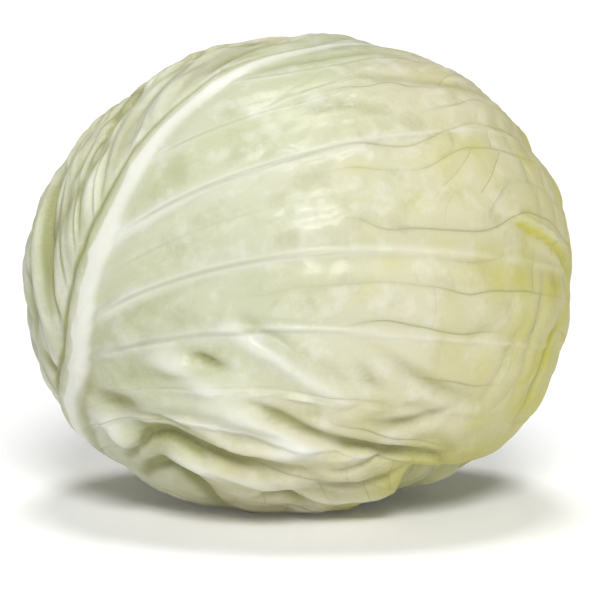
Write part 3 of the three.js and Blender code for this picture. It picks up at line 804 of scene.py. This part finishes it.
def crumpled(grid, place, flat, squeezed, seed):
    """Small seeded folds along the ribs, and slanting ones across the squeezed lower half."""
    k, t, side, gap, run = grid.T
    out = t * run / CRUMPLE["length"]
    narrow = pinched(np.stack([k * CRUMPLE["narrow"], out, side * 4], -1), seed + 2, 0.25)
    broad = pinched(np.stack([k * CRUMPLE["broad"], out, side * 4], -1), seed + 2, 0.3)
    fold, crease = (between(a, b, soft_step(9, 20, gap)) for a, b in zip(narrow, broad))
    crease = crease * (1 - 0.5 * soft_step(9, 25, gap))
    strength = np.where(side < 0, CRUMPLE["left"], CRUMPLE["right"]) * soft_step(0.02, 0.15, t)
    anywhere = speckled(place / 11 + seed, seed + 3) + 0.4 * speckled(place / 5 + seed, seed + 4) - 0.65
    height = strength * fold + CRUMPLE["all_over"] * anywhere
    creases = strength * crease
    if squeezed:
        p, q = flat.T
        slant = BUCKLE["slant"] * DEG
        down_fold = p * math.cos(slant) + q * math.sin(slant)
        over_fold = q * math.cos(slant) - p * math.sin(slant)
        over_fold += speckled(np.stack([p / 20, q / 20, 0 * p], -1), seed + 5) * BUCKLE["bow"]
        where = soft_step(4, -12, q) * soft_step(-34, -18, p) * (1 - soft_step(50, 72, p))
        lattice = np.stack([down_fold / BUCKLE["length"], over_fold / BUCKLE["width"], 0 * p], -1)
        fold, crease = pinched(lattice, seed + 6, 0.35)
        height += BUCKLE["rise"] * fold * where
        creases += 0.5 * BUCKLE["rise"] * crease * where
    return height, creases


print("folds left of the midrib rise about", CRUMPLE["left"], "mm, and on its right", CRUMPLE["right"], "mm")

# %% [markdown]
# ## Veins
# The finish will draw a vein wherever one of two numbers is whole: one counts across the ribs and
# wanders on its way to the edge, and the other counts along them and makes the veins that cross.
# Between the veins near the edge the leaf swells a little more, like a quilt.

# %% Veins and quilting
QUILT = {"rise": 0.35, "reach": 4, "from": 30, "full": 70}
CELL_LENGTH = 13
STAGGER = 0.37


def vein_numbers(grid, seed):
    """Where the veins run: a number that is whole along them, one whole across them, and gaps."""
    k, t, side, gap, run = grid.T
    wander = speckled(np.stack([k * 0.8, t * run / 24, side * 5], -1), seed) - 0.5
    wander = wander + 0.2 * (speckled(np.stack([k * 1.7, t * run / 9, side * 5], -1), seed + 1) - 0.5)
    along = 2 * k + wander * 0.9 * soft_step(0.2, 0.6, t)
    across = t * run / CELL_LENGTH + wander * 1.2 + 0.5 * side
    return along, across, gap / 2


def off_whole(value):
    return np.abs(value - np.round(value))


def quilted(grid, along, across, gap):
    stagger = across + (np.floor(along) * STAGGER) % 1
    vein_off = np.minimum(off_whole(along) * gap, off_whole(stagger) * CELL_LENGTH)
    far = soft_step(QUILT["from"], QUILT["full"], grid[:, 1] * grid[:, 4])
    return QUILT["rise"] * (soft_step(0, QUILT["reach"], vein_off) - 0.6) * far


print("a vein crosses about every", CELL_LENGTH, "mm")

# %% [markdown]
# ## Where a leaf is pale or yellow, and where light and shade are painted
# Ribs are paler. The ridges of the folds get a painted highlight, and creases, fold valleys,
# the midrib's groove and left flank, a band right of the midrib and the part near the stem get
# painted shade in olive, and the blade left of the midrib is darker and more olive. It is yellow
# in soft patches and towards the crown, and one fold near the crown is picked out in yellow. The
# finish only mixes colours by these three numbers.

# %% Tones and painted light
# Strengths of the ribs' paleness, of the painted highlight on ridges, of the painted shade in olive on the
# midrib's flank, fold valleys, groove and creases, and of the darker olive left of the midrib.
TONE_AND_PAINTED_LIGHT = {"ridge_highlight": 0.21, "rib": 0.25, "flank_shade": 1.3, "fold": 1.1, "groove": 5, "crease": 1.5, "left": 0.75}
# The band of painted shade right of the midrib: how far out it lies and its half width, in mm.
MIDRIB_SHADE_BAND = {"at": 13, "half": 7}
# How strong the painted shade near the stem is.
STEM_SHADE = 0.8


def yellow_tone(face, flat, seed, patches, streaks):
    yellow = np.zeros(len(face.u))
    for p, q, size, strength in patches:
        yellow = np.maximum(yellow, strength * bell(np.hypot(flat[:, 0] - p, flat[:, 1] - q) / size))
    for start, by, end, half, strength in streaks:
        path = face.leaf.map.to_direction(bend(start, by, end, np.linspace(0, 1, CURVE_STEPS)))
        off, share, _ = nearest(path, face.u)
        yellow = np.maximum(yellow, strength * bell(off / half / between(0.6, 1.4, share)))
    blotch = soft_step(0.62, 0.85, speckled(face.u * SPHERE / 11, seed + 4))
    yellow = yellow + 0.5 * blotch * soft_step(0.35, 0.8, face.grid[:, 1])
    low = 1 - 0.55 * soft_step(-0.4, 0.2, face.u[:, 2])
    return yellow + 1.5 * soft_step(0.5, 1, face.u[:, 0]) * low


def painted_light_tones(face, front, flat, crumple, creased):
    """How pale a leaf is at each corner with its painted highlight, and how much painted shade it gets."""
    _, t, side, _, run = face.grid.T
    raised = np.maximum(front["folds"], 0) + np.maximum(crumple, 0)
    # Ribs are paler, and the ridges of folds and crumple get a painted highlight.
    pale_and_painted_light = front["pale_and_painted_light"] + TONE_AND_PAINTED_LIGHT["rib"] * front["ribs"] + TONE_AND_PAINTED_LIGHT["ridge_highlight"] * raised
    # Painted shade in olive on the midrib's left flank, in fold valleys, in the groove and in creases.
    painted_shade = TONE_AND_PAINTED_LIGHT["flank_shade"] * np.maximum(-pale_and_painted_light, 0) + TONE_AND_PAINTED_LIGHT["fold"] * np.maximum(-front["folds"], 0)
    painted_shade += TONE_AND_PAINTED_LIGHT["groove"] * front["groove"] ** 2 + TONE_AND_PAINTED_LIGHT["crease"] * creased * front["free"]
    # Painted shade in a band right of the midrib, stronger on the lower half.
    shade_beside_midrib = bell((run * t - MIDRIB_SHADE_BAND["at"]) / MIDRIB_SHADE_BAND["half"]) * (side > 0)
    painted_shade += 0.6 * shade_beside_midrib * (1 + soft_step(-0.1, 0.5, -face.u[:, 2]))
    # The blade left of the midrib is darker and more olive.
    painted_shade += TONE_AND_PAINTED_LIGHT["left"] * (side < 0) * soft_step(0, 0.2, t)
    # Painted shade on the outer leaf near the stem, right of the midrib.
    if face.leaf is outer:
        stem_shade = soft_step(12, -14, flat[:, 1]) * (1 - soft_step(-14, 8, flat[:, 0]))
        painted_shade += STEM_SHADE * stem_shade * (side > 0) * soft_step(4, 13, run * t)
    return pale_and_painted_light, painted_shade


print("tones:", TONE_AND_PAINTED_LIGHT)

# %% [markdown]
# ## The three wrapper leaves
# Now each leaf is made: a fine face with its relief, a coarse back, and the rim. The fine relief
# is left out where the leaf is covered, where it ends, and where the head rests on it.

# %% The wrapper leaves
RESTING = 0.6


def leaf_piece(name, leaf, over, fine, coarse, seed, patches=(), streaks=()):
    face = Sheet(leaf, *fine)
    back = Sheet(leaf, *coarse)
    front = leaf_radii(leaf, over, face.u)
    behind = leaf_radii(leaf, over, back.u)
    flat = leaf.map.to_plane(face.u)
    along, across, gap = vein_numbers(face.grid, seed)
    crumple, creased = crumpled(face.grid, face.u * SPHERE, flat, leaf is outer, seed)
    inside = front["inside"]
    fine_relief = crumple * soft_step(0, 12, inside)
    fine_relief += quilted(face.grid, along, across, gap) * soft_step(0, 5, inside)
    fine_relief = np.maximum(fine_relief, -0.4) * front["free"]
    below = face.u[:, 2] < UNDERSIDE
    depth = LAYER * layers_over(over, face.u)
    rests = front["outer"] * -face.u[:, 2] > FLOOR_DROP - depth - RESTING
    radius = pressed(front["outer"] + np.where(rests & below, 0, fine_relief), face.u, depth)
    points = np.concatenate([placed(face.u, radius), placed(back.u, behind["inner"])])
    rim = bridge(points, face.rim(), back.rim() + len(face.u))
    underside = back.triangles(behind["inner"])[:, ::-1] + len(face.u)
    triangles = np.concatenate([face.triangles(radius), underside, rim])
    # The paleness with its painted highlight, and the painted shade, go to the finish as numbers.
    pale_and_painted_light, painted_shade = painted_light_tones(face, front, flat, crumple, creased)
    row, t, side, _, run = face.grid.T
    layers = {
        "rib_grid": (row, t, side),
        "vein_lines": (along, across, gap),
        "tone_and_painted_light": (inside, pale_and_painted_light, painted_shade),
        "leaf_spots": (yellow_tone(face, flat, seed, patches, streaks), front["ribs"], run * t),
    }
    bare = np.zeros((len(back.u), 3))
    numbers = {key: np.concatenate([np.stack(parts, -1), bare]) for key, parts in layers.items()}
    print(name, len(triangles), "triangles,", len(rim), "of them in the rim")
    return mesh_piece(name, points, triangles, numbers)


FINE = {"outer": (352, 150, 92), "second": (220, 112, 112), "third": (190, 98, 98)}
OUTER_PATCHES = [
    [59, 5, 5, 0.5], [66, 2, 4, 0.9], [72, 3, 4, 0.8], [87, 0, 5, 1.2], [61, 41, 4, 0.5],
    [49, 36, 5, 0.4], [98, 6, 8, 0.8],
    [80, -40, 6, 0.9], [88, -24, 5, 1], [40, 8, 3, 0.5], [34, 1, 2.5, 0.5], [52, 12, 3, 0.4],
    [63, -40, 5, 0.7], [52, -42, 4, 0.6], [30, 30, 3, 0.4], [45, 22, 3, 0.4],
]
OUTER_STREAKS = [([72, 19], [83, 15], [99, 4], 1.2, 1.4), ([78, -30], [90, -22], [98, -8], 2, 0.8)]
COARSE = {"outer": (90, 60, 36), "second": (60, 40, 40), "third": (50, 32, 32)}
yellows = (OUTER_PATCHES, OUTER_STREAKS)
leaf_outer = leaf_piece("outer_leaf", outer, [], FINE["outer"], COARSE["outer"], 11, *yellows)
leaf_second = leaf_piece("second_leaf", second, [outer], FINE["second"], COARSE["second"], 23)
leaf_third = leaf_piece("third_leaf", third, [outer, second], FINE["third"], COARSE["third"], 37)

# %% [markdown]
# ## The heart
# Under the wrapper leaves the head is dense. At the crown the next leaves close over each other,
# and their edges show as low steps that curve round the crown, so the ball gets those steps. Its
# corners lie in rings round the crown, close together where it shows and far apart where not.

# %% The heart
CROWN = {"lon": 126, "lat": 33, "open": 30, "close": 42}
HEART_GAP = 0.7
CROWN_STEPS = [(25, -9, 30, 1.5), (150, -6, 26, 1.4), (265, -4, 24, 1.2), (75, 4, 16, 1)]
crown_map = LeafMap(CROWN["lon"], CROWN["lat"])


def heart_radius(u):
    depth = LAYER * layers_over([outer, second, third], u) + HEART_GAP
    flat = crown_map.to_plane(u)
    shown = 1 - soft_step(CROWN["open"], CROWN["close"], np.hypot(*flat.T))
    steps = np.zeros(len(u))
    for turn, off, bow, rise in CROWN_STEPS:
        out = flat @ polar(turn, 1.0)
        aside = flat @ polar(turn + 90, 1.0)
        steps += rise * (soft_step(-1.1, 1.1, out - off + aside**2 / (2 * bow)) - 1)
    return pressed(head_radius(u) + folded(u, True) - depth + steps * shown, u, depth)


def ring_triangles(rings, around):
    """Triangles from a first corner, through rings of corners, to a last one."""
    k = np.arange(around)
    after = (k + 1) % around
    triangles = [np.stack([0 * k, 1 + k, 1 + after], -1)]
    for ring in range(rings - 1):
        low = 1 + ring * around
        high = low + around
        triangles.append(np.stack([low + k, high + k, high + after], -1))
        triangles.append(np.stack([low + k, high + after, low + after], -1))
    low = 1 + (rings - 1) * around
    triangles.append(np.stack([low + k, 0 * k + low + around, low + after], -1))
    return np.concatenate(triangles)


HEART_TURNS = 180
shown_rings = np.arange(0.7, 44, 0.7)
hidden_rings = np.arange(46, 179, 3)
rings = np.concatenate([shown_rings, hidden_rings])
turn = np.arange(HEART_TURNS) * 360 / HEART_TURNS
heart_flat = [np.zeros((1, 2))] + [polar(turn, away) for away in rings] + [np.array([[180.0, 0.0]])]
heart_u = crown_map.to_direction(np.concatenate(heart_flat))
heart_flat = crown_map.to_plane(heart_u)
heart_triangles = ring_triangles(len(rings), HEART_TURNS)
heart = mesh_piece(
    "heart_leaves",
    placed(heart_u, heart_radius(heart_u)),
    heart_triangles,
    {"crown": np.concatenate([heart_flat, heart_u[:, :1]], -1)},
)
print("heart:", len(heart_triangles), "triangles")

# %% [markdown]
# ## The cut stem
# The stem was cut across with a knife close under the leaves. A dry cut is slightly dished, with
# a paler ring of wood round a spongy middle, and its outline isn't a true circle.

# %% The cut stem
stem_map = LeafMap(STEM["lon"], STEM["lat"])
stem_top = head_radius(stem_axis[None])[0] + STEM["stands"]


def stem_foot():
    """How far out the stem starts, so that it stands clear of the heart."""
    turn, ring = np.meshgrid(np.arange(0, 390, 30), np.arange(4), indexing="ij")
    lean = ring.ravel() * STEM["radius"] / 3 / SPHERE / DEG
    u = stem_map.to_direction(polar(turn.ravel(), lean))
    return (heart_radius(u) * (u @ stem_axis)).max() + 0.5


foot = stem_foot()
wide = STEM["radius"]
stem_profile = np.array([
    [0, foot], [wide * 0.5, foot], [wide + STEM["flare"], foot], [wide + 0.2, foot + 1.5],
    [wide, stem_top - 3.5], [wide - 0.6, stem_top - 1.2], [wide - 1.6, stem_top - 0.2],
    [wide - 2.4, stem_top], [wide - 3.2, stem_top - 0.05], [wide * 0.66, stem_top - 0.3],
    [wide * 0.5, stem_top - 0.5], [wide * 0.4, stem_top - 1.1], [wide * 0.2, stem_top - 1.35],
    [0, stem_top - 1.4],
])
along_profile = np.concatenate([[0], np.cumsum(np.hypot(*np.diff(stem_profile, axis=0).T))])
fine_at = np.linspace(0, along_profile[-1], 70)
fine_profile = np.stack([np.interp(fine_at, along_profile, stem_profile[:, k]) for k in (0, 1)], -1)
STEM_TURNS = 120
KNIFE_MARKS = [(0.07, 2.3, 0), (0.05, 1.1, 1)]
KNIFE_TURN = 0.7
angle = np.arange(STEM_TURNS) * 2 * math.pi / STEM_TURNS
chance = np.random.default_rng(5)
uneven = sum(0.006 * chance.normal() * np.cos(n * angle + chance.uniform(0, 6.3)) for n in range(2, 9))
uneven = np.minimum(uneven, 0.01)
level = np.outer(np.cos(angle), stem_map.east) + np.outer(np.sin(angle), stem_map.north)
stem_points = [stem_axis * foot]
for radius, height in fine_profile[1:-1]:
    across_cut = radius * np.cos(angle - KNIFE_TURN)
    marks = sum(rise * np.sin(wave * across_cut + phase) for rise, wave, phase in KNIFE_MARKS)
    rough = marks * (radius < wide - 2) * (height > stem_top - 2)
    ring = stem_axis * height + radius * level * (1 + uneven)[:, None]
    stem_points.extend(ring + np.outer(rough, stem_axis))
stem_points.append(stem_axis * fine_profile[-1][1])
stem_points = (CENTRE + np.array(stem_points)) / 1000
stem_triangles = ring_triangles(len(fine_profile) - 2, STEM_TURNS)[:, ::-1]
from_axis = np.linalg.norm(np.cross(stem_points * 1000 - CENTRE, stem_axis), axis=1)
stem_numbers = {"cut": np.stack([from_axis, 0 * from_axis, 0 * from_axis], -1)}
cut_stem = mesh_piece("cut_stem", stem_points, stem_triangles, stem_numbers)
print("cut stem from", round(foot, 1), "to", round(stem_top, 1), "mm out")

# %% [markdown]
# ## Shader maths in words
# A finish is a sum of simple masks. To write such sums plainly, one small class wraps a socket,
# and its operators add the Math nodes. So `1 - mask * 0.5` reads as it would on paper.


# %% A socket that can be added and multiplied
class Wire:
    """One socket of a finish. Sums with it add their own Math nodes."""

    def __init__(self, socket):
        self.socket = socket

    def node(self, kind, settings=(), values=(), take=0):
        return add_node(self.socket.id_data, kind, settings, values, take)

    def math(self, operation, *values):
        inputs = dict(enumerate((self,) + values))
        return self.node("ShaderNodeMath", {"operation": operation}, inputs)

    def __add__(self, other):
        return self.math("ADD", other)

    def __sub__(self, other):
        return self.math("SUBTRACT", other)

    def __rsub__(self, other):
        return (self * -1.0) + other

    def __mul__(self, other):
        return self.math("MULTIPLY", other)

    def __abs__(self):
        return self.math("ABSOLUTE")

    __radd__ = __add__
    __rmul__ = __mul__

    def floor(self):
        return self.math("FLOOR")

    def off_whole(self):
        """How far the value is from the nearest whole number."""
        return abs((self + 0.5).math("FRACT") - 0.5)

    def larger(self, other):
        return self.math("MAXIMUM", other)

    def soft(self, low, high):
        """0 at low, 1 at high, with an S between."""
        settings = {"interpolation_type": "SMOOTHSTEP"}
        return self.node("ShaderNodeMapRange", settings, {"Value": self, "From Min": low, "From Max": high})

    def mix(self, first, second):
        """The first colour where this is 0 and the second where it is 1."""
        settings = {"data_type": "RGBA", "clamp_factor": True}
        return self.node("ShaderNodeMix", settings, {0: self, 6: first, 7: second}, take=2)


def add_node(tree, kind, settings=(), values=(), take=0):
    """Adds a node: its settings first, then the values or wires of its sockets. Gives an output."""
    made = tree.nodes.new(kind)
    for key, value in dict(settings).items():
        setattr(made, key, value)
    for key, value in dict(values).items():
        if isinstance(value, Wire):
            tree.links.new(value.socket, made.inputs[key])
        else:
            made.inputs[key].default_value = value
    return Wire(made.outputs[take])


def paint(text):
    """A colour from its usual #rrggbb name, as the light values that a shader wants."""
    shares = [int(text[i:i + 2], 16) / 255 for i in (1, 3, 5)]
    return tuple(s / 12.92 if s < 0.04045 else ((s + 0.055) / 1.055) ** 2.4 for s in shares) + (1.0,)


class Finish:
    """A material under construction: its node tree, its shader and its ways to read numbers."""

    def __init__(self, name, roughness, coat=0.0, coat_roughness=0.2, soft_light=0.0, depth=0.004):
        self.material = bpy.data.materials.new(name)
        self.material.use_nodes = True
        self.tree = self.material.node_tree
        self.shader = self.tree.nodes["Principled BSDF"]
        self.keep({
            "Roughness": roughness,
            "Specular IOR Level": 0.35,
            "Coat Weight": coat,
            "Coat Roughness": coat_roughness,
            "Subsurface Weight": soft_light,
            "Subsurface Radius": (1.0, 0.9, 0.45),
            "Subsurface Scale": depth,
        })
        self.place = self.add("ShaderNodeTexCoord", take="Object")

    def keep(self, values):
        """Sets what is the same all over the surface."""
        for socket, value in values.items():
            self.shader.inputs[socket].default_value = value

    def add(self, kind, settings=(), values=(), take=0):
        return add_node(self.tree, kind, settings, values, take)

    def numbers(self, name):
        """The three numbers of a named layer of the mesh."""
        layer = self.add("ShaderNodeAttribute", {"attribute_name": name}, take="Vector")
        first = self.add("ShaderNodeSeparateXYZ", (), {0: layer})
        return [Wire(socket) for socket in first.socket.node.outputs]

    def vector(self, x, y, z):
        return self.add("ShaderNodeCombineXYZ", (), {0: x, 1: y, 2: z})

    def noise(self, vector, scale, detail=2.0, roughness=0.5):
        values = {"Vector": vector, "Scale": scale, "Detail": detail, "Roughness": roughness}
        return self.add("ShaderNodeTexNoise", (), values)

    def cells(self, scale):
        """How far a point is from the border of its cell."""
        values = {"Vector": self.place, "Scale": scale}
        return self.add("ShaderNodeTexVoronoi", {"feature": "DISTANCE_TO_EDGE"}, values)

    def set(self, socket, wire):
        self.tree.links.new(wire.socket, self.shader.inputs[socket])

    def raise_by(self, height):
        """Raises the surface in the shader by a height in millimetres."""
        values = {"Height": height, "Distance": 0.001, "Strength": 1.0}
        self.set("Normal", self.add("ShaderNodeBump", (), values))


print("a pale green in light values:", [round(v, 3) for v in paint("#dfe2be")[:3]])

# %% [markdown]
# ## The finish of a wrapper leaf
# A white cabbage leaf is waxy and lets a little light in. It is nearly white along its ribs,
# pale green to cream between them, and yellower towards the edge and the crown. Thin veins run
# beside the ribs and wander, and others join them across, most of all near the edge. Creases,
# fold valleys, the groove and left flank of the midrib and the part near the stem get painted
# shade in olive, the crest and the ridges a painted highlight, and the side ribs a darker line
# that is partly painted shade.
#
# The mesh carries the numbers of the rows and columns, so the veins are drawn in the shader as
# lines at whole numbers, bent by noise. They stay sharp however close we look.


# %% The leaf finish
def leaf_finish(name, colours, edge_yellow):
    # The crease colour is the olive of stains and vein halos, and of the painted shade.
    young, green, old, vein, rib, crease, lemon = [paint(text) for text in colours]
    leaf = Finish(name, 0.4, coat=0.14, coat_roughness=0.18, soft_light=0.15, depth=0.002)
    row, out, side = leaf.numbers("rib_grid")
    along, across, gap = leaf.numbers("vein_lines")
    # The paleness with its painted highlight, and the painted shade.
    inside, pale_and_painted_light, painted_shade = leaf.numbers("tone_and_painted_light")
    spots, rib_height, reach = leaf.numbers("leaf_spots")

    flow = leaf.vector(row * 0.5, reach * 0.012, side * 7.0)
    drift = leaf.noise(flow, 1.0, 2.0)
    mottle = leaf.noise(leaf.place, 26.0, 3.0)
    broken = leaf.noise(leaf.vector(along * 0.9, reach * 0.016, side * 11.0), 1.0, 1.0)
    patch = leaf.noise(leaf.vector(along * 0.4, reach * 0.025, side * 5.0), 1.0, 1.0)

    line_off = along.off_whole() * gap
    wide = gap.soft(2.0, 5.0) * reach.soft(30.0, 60.0)
    lines = (1 - line_off.soft(0.1, 0.55)) * out.soft(0.3, 0.6) * broken.soft(0.43, 0.64) * wide
    halo = (1 - line_off.soft(0.0, 2.2)) * out.soft(0.3, 0.6) * broken.soft(0.38, 0.6)
    cross_at = across + (along.floor() * STAGGER).math("FRACT")
    cross_off = cross_at.off_whole() * CELL_LENGTH
    cross = (1 - cross_off.soft(0.1, 0.45)) * out.soft(0.5, 0.8) * patch.soft(0.48, 0.62) * wide
    # A darker line along the side ribs near the midrib: partly their see-through core, partly painted shade
    # on their lower side.
    rib_off = row.off_whole() * gap * 2.0
    rib_shade_line = (1 - rib_off.soft(0.0, 1.5)) * rib_height.soft(0.15, 0.8)
    rib_shade_line = rib_shade_line * out.soft(0.05, 0.14) * (1 - out.soft(0.4, 0.65))

    fleck = leaf.noise(leaf.place, 110.0, 4.0, 0.6)
    stain = leaf.noise(leaf.place, 75.0, 5.0, 0.6)
    net = leaf.cells(480.0)
    fine_net = (1 - net.soft(0.0, 0.14)) * mottle.soft(0.4, 0.65)
    speckle = leaf.noise(leaf.place, 420.0, 3.0)

    blade = (drift * 0.9 + mottle * 0.5 - 0.2).soft(0.25, 0.75).mix(young, green)
    blade = (out.soft(0.3, 0.8) * 0.8).mix(blade, old)
    blade = (fleck.soft(0.48, 0.7) * 0.35).mix(blade, rib)
    blade = (stain.soft(0.5, 0.7) * 0.25).mix(blade, crease)
    blade = ((1 - inside.soft(0.0, 14.0)) * edge_yellow).mix(blade, lemon)
    blade = (halo * 0.16).mix(blade, crease)
    # Pale ribs, with a painted highlight on the midrib's crest and the fold ridges.
    blade = (pale_and_painted_light.soft(0.0, 1.0) * 0.9).mix(blade, rib)
    blade = (spots * 0.5).mix(blade, lemon)
    # Painted shade in olive in creases, fold valleys, the groove, the midrib's flank and near the stem.
    blade = (painted_shade.soft(0.1, 3.2) * 0.8).mix(blade, crease)
    blade = (rib_shade_line * 0.4).mix(blade, vein)
    blade = (lines.larger(cross * 0.6) * 0.36).mix(blade, vein)
    blade = (fine_net * 0.07).mix(blade, rib)
    leaf.set("Base Color", blade)
    leaf.set("Roughness", 0.46 + mottle * 0.2 + lines * 0.1)
    height = speckle * 0.04 - lines.larger(cross) * 0.12 + mottle * 0.7 - fine_net * 0.03 + fleck * 0.5
    leaf.raise_by(height)
    return leaf.material


# Each leaf's colours are for its young blade, its greener and its older parts, its veins, its
# ribs, its olive for stains, vein halos and painted shade, and its yellow, and the last number
# says how yellow its edge is.
LEAF_COLOURS = {
    "outer": (["#cbccb5", "#bcc19b", "#cfc8a6", "#85844f", "#e2e3d9", "#8b8b4c", "#bdb84e"], 0.75),
    "second": (["#c1c4a1", "#adb684", "#b6b584", "#757a48", "#dddecd", "#8e9052", "#aaa855"], 0.6),
    "third": (["#c5c394", "#b1b27a", "#b8b278", "#6e7342", "#d6d8c2", "#88884c", "#a5a24f"], 0.7),
}
for name, piece in (("outer", leaf_outer), ("second", leaf_second), ("third", leaf_third)):
    piece.data.materials.append(leaf_finish(name + "_leaf_wax", *LEAF_COLOURS[name]))
print("leaf finishes:", ", ".join(LEAF_COLOURS))

# %% [markdown]
# ## The finish of the heart and of the cut
# The inner leaves never saw the sun, so they are the yellowest and the most glossy. The cut stem
# is dull: pale wood in a ring, a greyer middle, and fine marks that the knife left.

# %% The heart's and the stem's finish
inner = Finish("inner_leaf_wax", 0.36, coat=0.3, coat_roughness=0.25, soft_light=0.25, depth=0.004)
crown_p, crown_q, _ = inner.numbers("crown")
streaks = inner.noise(inner.vector(crown_p * 0.05, crown_q * 0.3, 0.0), 1.0, 3.0)
inner_net = 1 - inner.cells(120.0).soft(0.0, 0.1)
inner_mottle = inner.noise(inner.place, 30.0, 3.0)
inner_blade = (streaks * 0.7 + inner_mottle * 0.5).soft(0.35, 0.85).mix(paint("#c9c691"), paint("#b8b97a"))
inner_blade = (inner_net * 0.25).mix(inner_blade, paint("#d2cfaf"))
inner.set("Base Color", inner_blade)
inner.raise_by(inner_mottle * 0.5 + streaks * 0.5 + inner_net * 0.12)
heart.data.materials.append(inner.material)

wood = Finish("dry_cut_stem", 0.72, soft_light=0.1, depth=0.002)
from_middle = wood.numbers("cut")[0]
grain = wood.noise(wood.place, 350.0, 4.0)
blotch = wood.noise(wood.place, 90.0, 3.0)
face = (from_middle + grain * 1.2).soft(5.0, 8.0).mix(paint("#b0aa8b"), paint("#c2bea3"))
face = ((from_middle + grain * 1.5).soft(12.0, 14.2) * 0.7).mix(face, paint("#9a9368"))
face = (blotch.soft(0.5, 0.75) * 0.5).mix(face, paint("#917c56"))
wood.set("Base Color", face)
wood.raise_by(grain * 0.6 + blotch * 0.8)
cut_stem.data.materials.append(wood.material)
print("heart and stem finishes:", inner.material.name, wood.material.name)

# %% [markdown]
# ## Riding on the frame
# Each piece replaces the solid that it stands for and rides on the part's one body.

# %% Pieces on the frame
for piece, node, slot in (
    (leaf_outer, "leaf_outer", "outer_leaf"),
    (leaf_second, "leaf_second", "second_leaf"),
    (leaf_third, "leaf_third", "third_leaf"),
    (heart, "heart", "heart"),
    (cut_stem, "stump", "cut_stem"),
):
    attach(piece, "root")
    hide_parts(node)
    low = np.array([corner[:] for corner in piece.bound_box]).min(0)
    print(piece.name, "stands for", node, "and starts at z =", round(float(low[2]) * 1000, 2), "mm")

# %% [markdown]
# ## Floor, light and camera
# A plain studio: a white floor that runs on into the background, one wide light from the front and
# above, one from straight above, and a long lens a little above the level. These two lights are
# suns, because a sun is as bright all over the floor, and their width keeps the shadow soft. A
# small round lamp near the camera adds the glint on the wax.


# %% Floor and light
def floor_piece(size):
    mesh = bpy.data.meshes.new("floor")
    half = size / 2
    corners = [(-half, -half, 0), (half, -half, 0), (half, half, 0), (-half, half, 0)]
    mesh.from_pydata(corners, [], [(0, 1, 2, 3)])
    made = bpy.data.objects.new("floor", mesh)
    bpy.context.scene.collection.objects.link(made)
    return made


floor = floor_piece(size=14)
floor_paint = Finish("pale_floor", 0.9)
floor_paint.keep({
    "Base Color": (0.96, 0.96, 0.96, 1),
    "Specular IOR Level": 0.0,
    "Emission Color": (1, 1, 1, 1),
    "Emission Strength": 0.05,
})
floor.data.materials.append(floor_paint.material)

world = bpy.data.worlds.new("studio")
bpy.context.scene.world = world
world.use_nodes = True
background = world.node_tree.nodes["Background"]
background.inputs["Color"].default_value = (1, 1, 1, 1)
background.inputs["Strength"].default_value = 0.14
middle = Vector((0, 0, FLOOR_DROP / 1000))


def lamp(name, kind, place, strength, **settings):
    """A light at a place in metres, turned towards the middle of the head."""
    light = bpy.data.lights.new(name, kind)
    light.energy = strength
    for key, value in settings.items():
        setattr(light, key, value)
    made = bpy.data.objects.new(name, light)
    made.location = place
    made.rotation_euler = (middle - Vector(place)).to_track_quat("-Z", "Y").to_euler()
    bpy.context.scene.collection.objects.link(made)


lamp("front_light", "SUN", (0.05, -0.75, 0.65), 2.45, angle=20 * DEG)
lamp("top_light", "SUN", (0.0, 0.08, 1.0), 1.35, angle=18 * DEG)
lamp("glint_light", "AREA", (-0.1, -1.0, 0.42), 0.2, shape="DISK", size=0.16)

# %% [markdown]
# ## The camera
# A long lens from far away keeps the head's proportions, as a studio lens does. Its distance
# follows from how many millimetres one pixel of a picture 600 pixels wide should show, and the
# middle of the head comes a little above the middle of the picture.

# %% Camera
EYE_HEIGHT = 8
PICTURE = 600
HEAD_ROW = 273
MM_PER_PIXEL = 180 / 544
LENS = 200
SENSOR = 36
span = PICTURE * MM_PER_PIXEL / 1000
back_off = LENS / SENSOR * span
look = Vector((0, -math.cos(EYE_HEIGHT * DEG), math.sin(EYE_HEIGHT * DEG)))
up = Vector((0, math.sin(EYE_HEIGHT * DEG), math.cos(EYE_HEIGHT * DEG)))
aim = Vector(CENTRE / 1000) - up * (PICTURE / 2 - HEAD_ROW) * MM_PER_PIXEL / 1000
camera_data = bpy.data.cameras.new("camera")
camera_data.lens = LENS
camera_data.sensor_width = SENSOR
camera_data.clip_end = 50
camera = bpy.data.objects.new("camera", camera_data)
camera.location = aim + look * back_off
camera.rotation_euler = (-look).to_track_quat("-Z", "Y").to_euler()
bpy.context.scene.collection.objects.link(camera)
bpy.context.scene.camera = camera
bpy.context.scene.view_settings.view_transform = "Standard"
print("camera", round(back_off, 2), "m away")
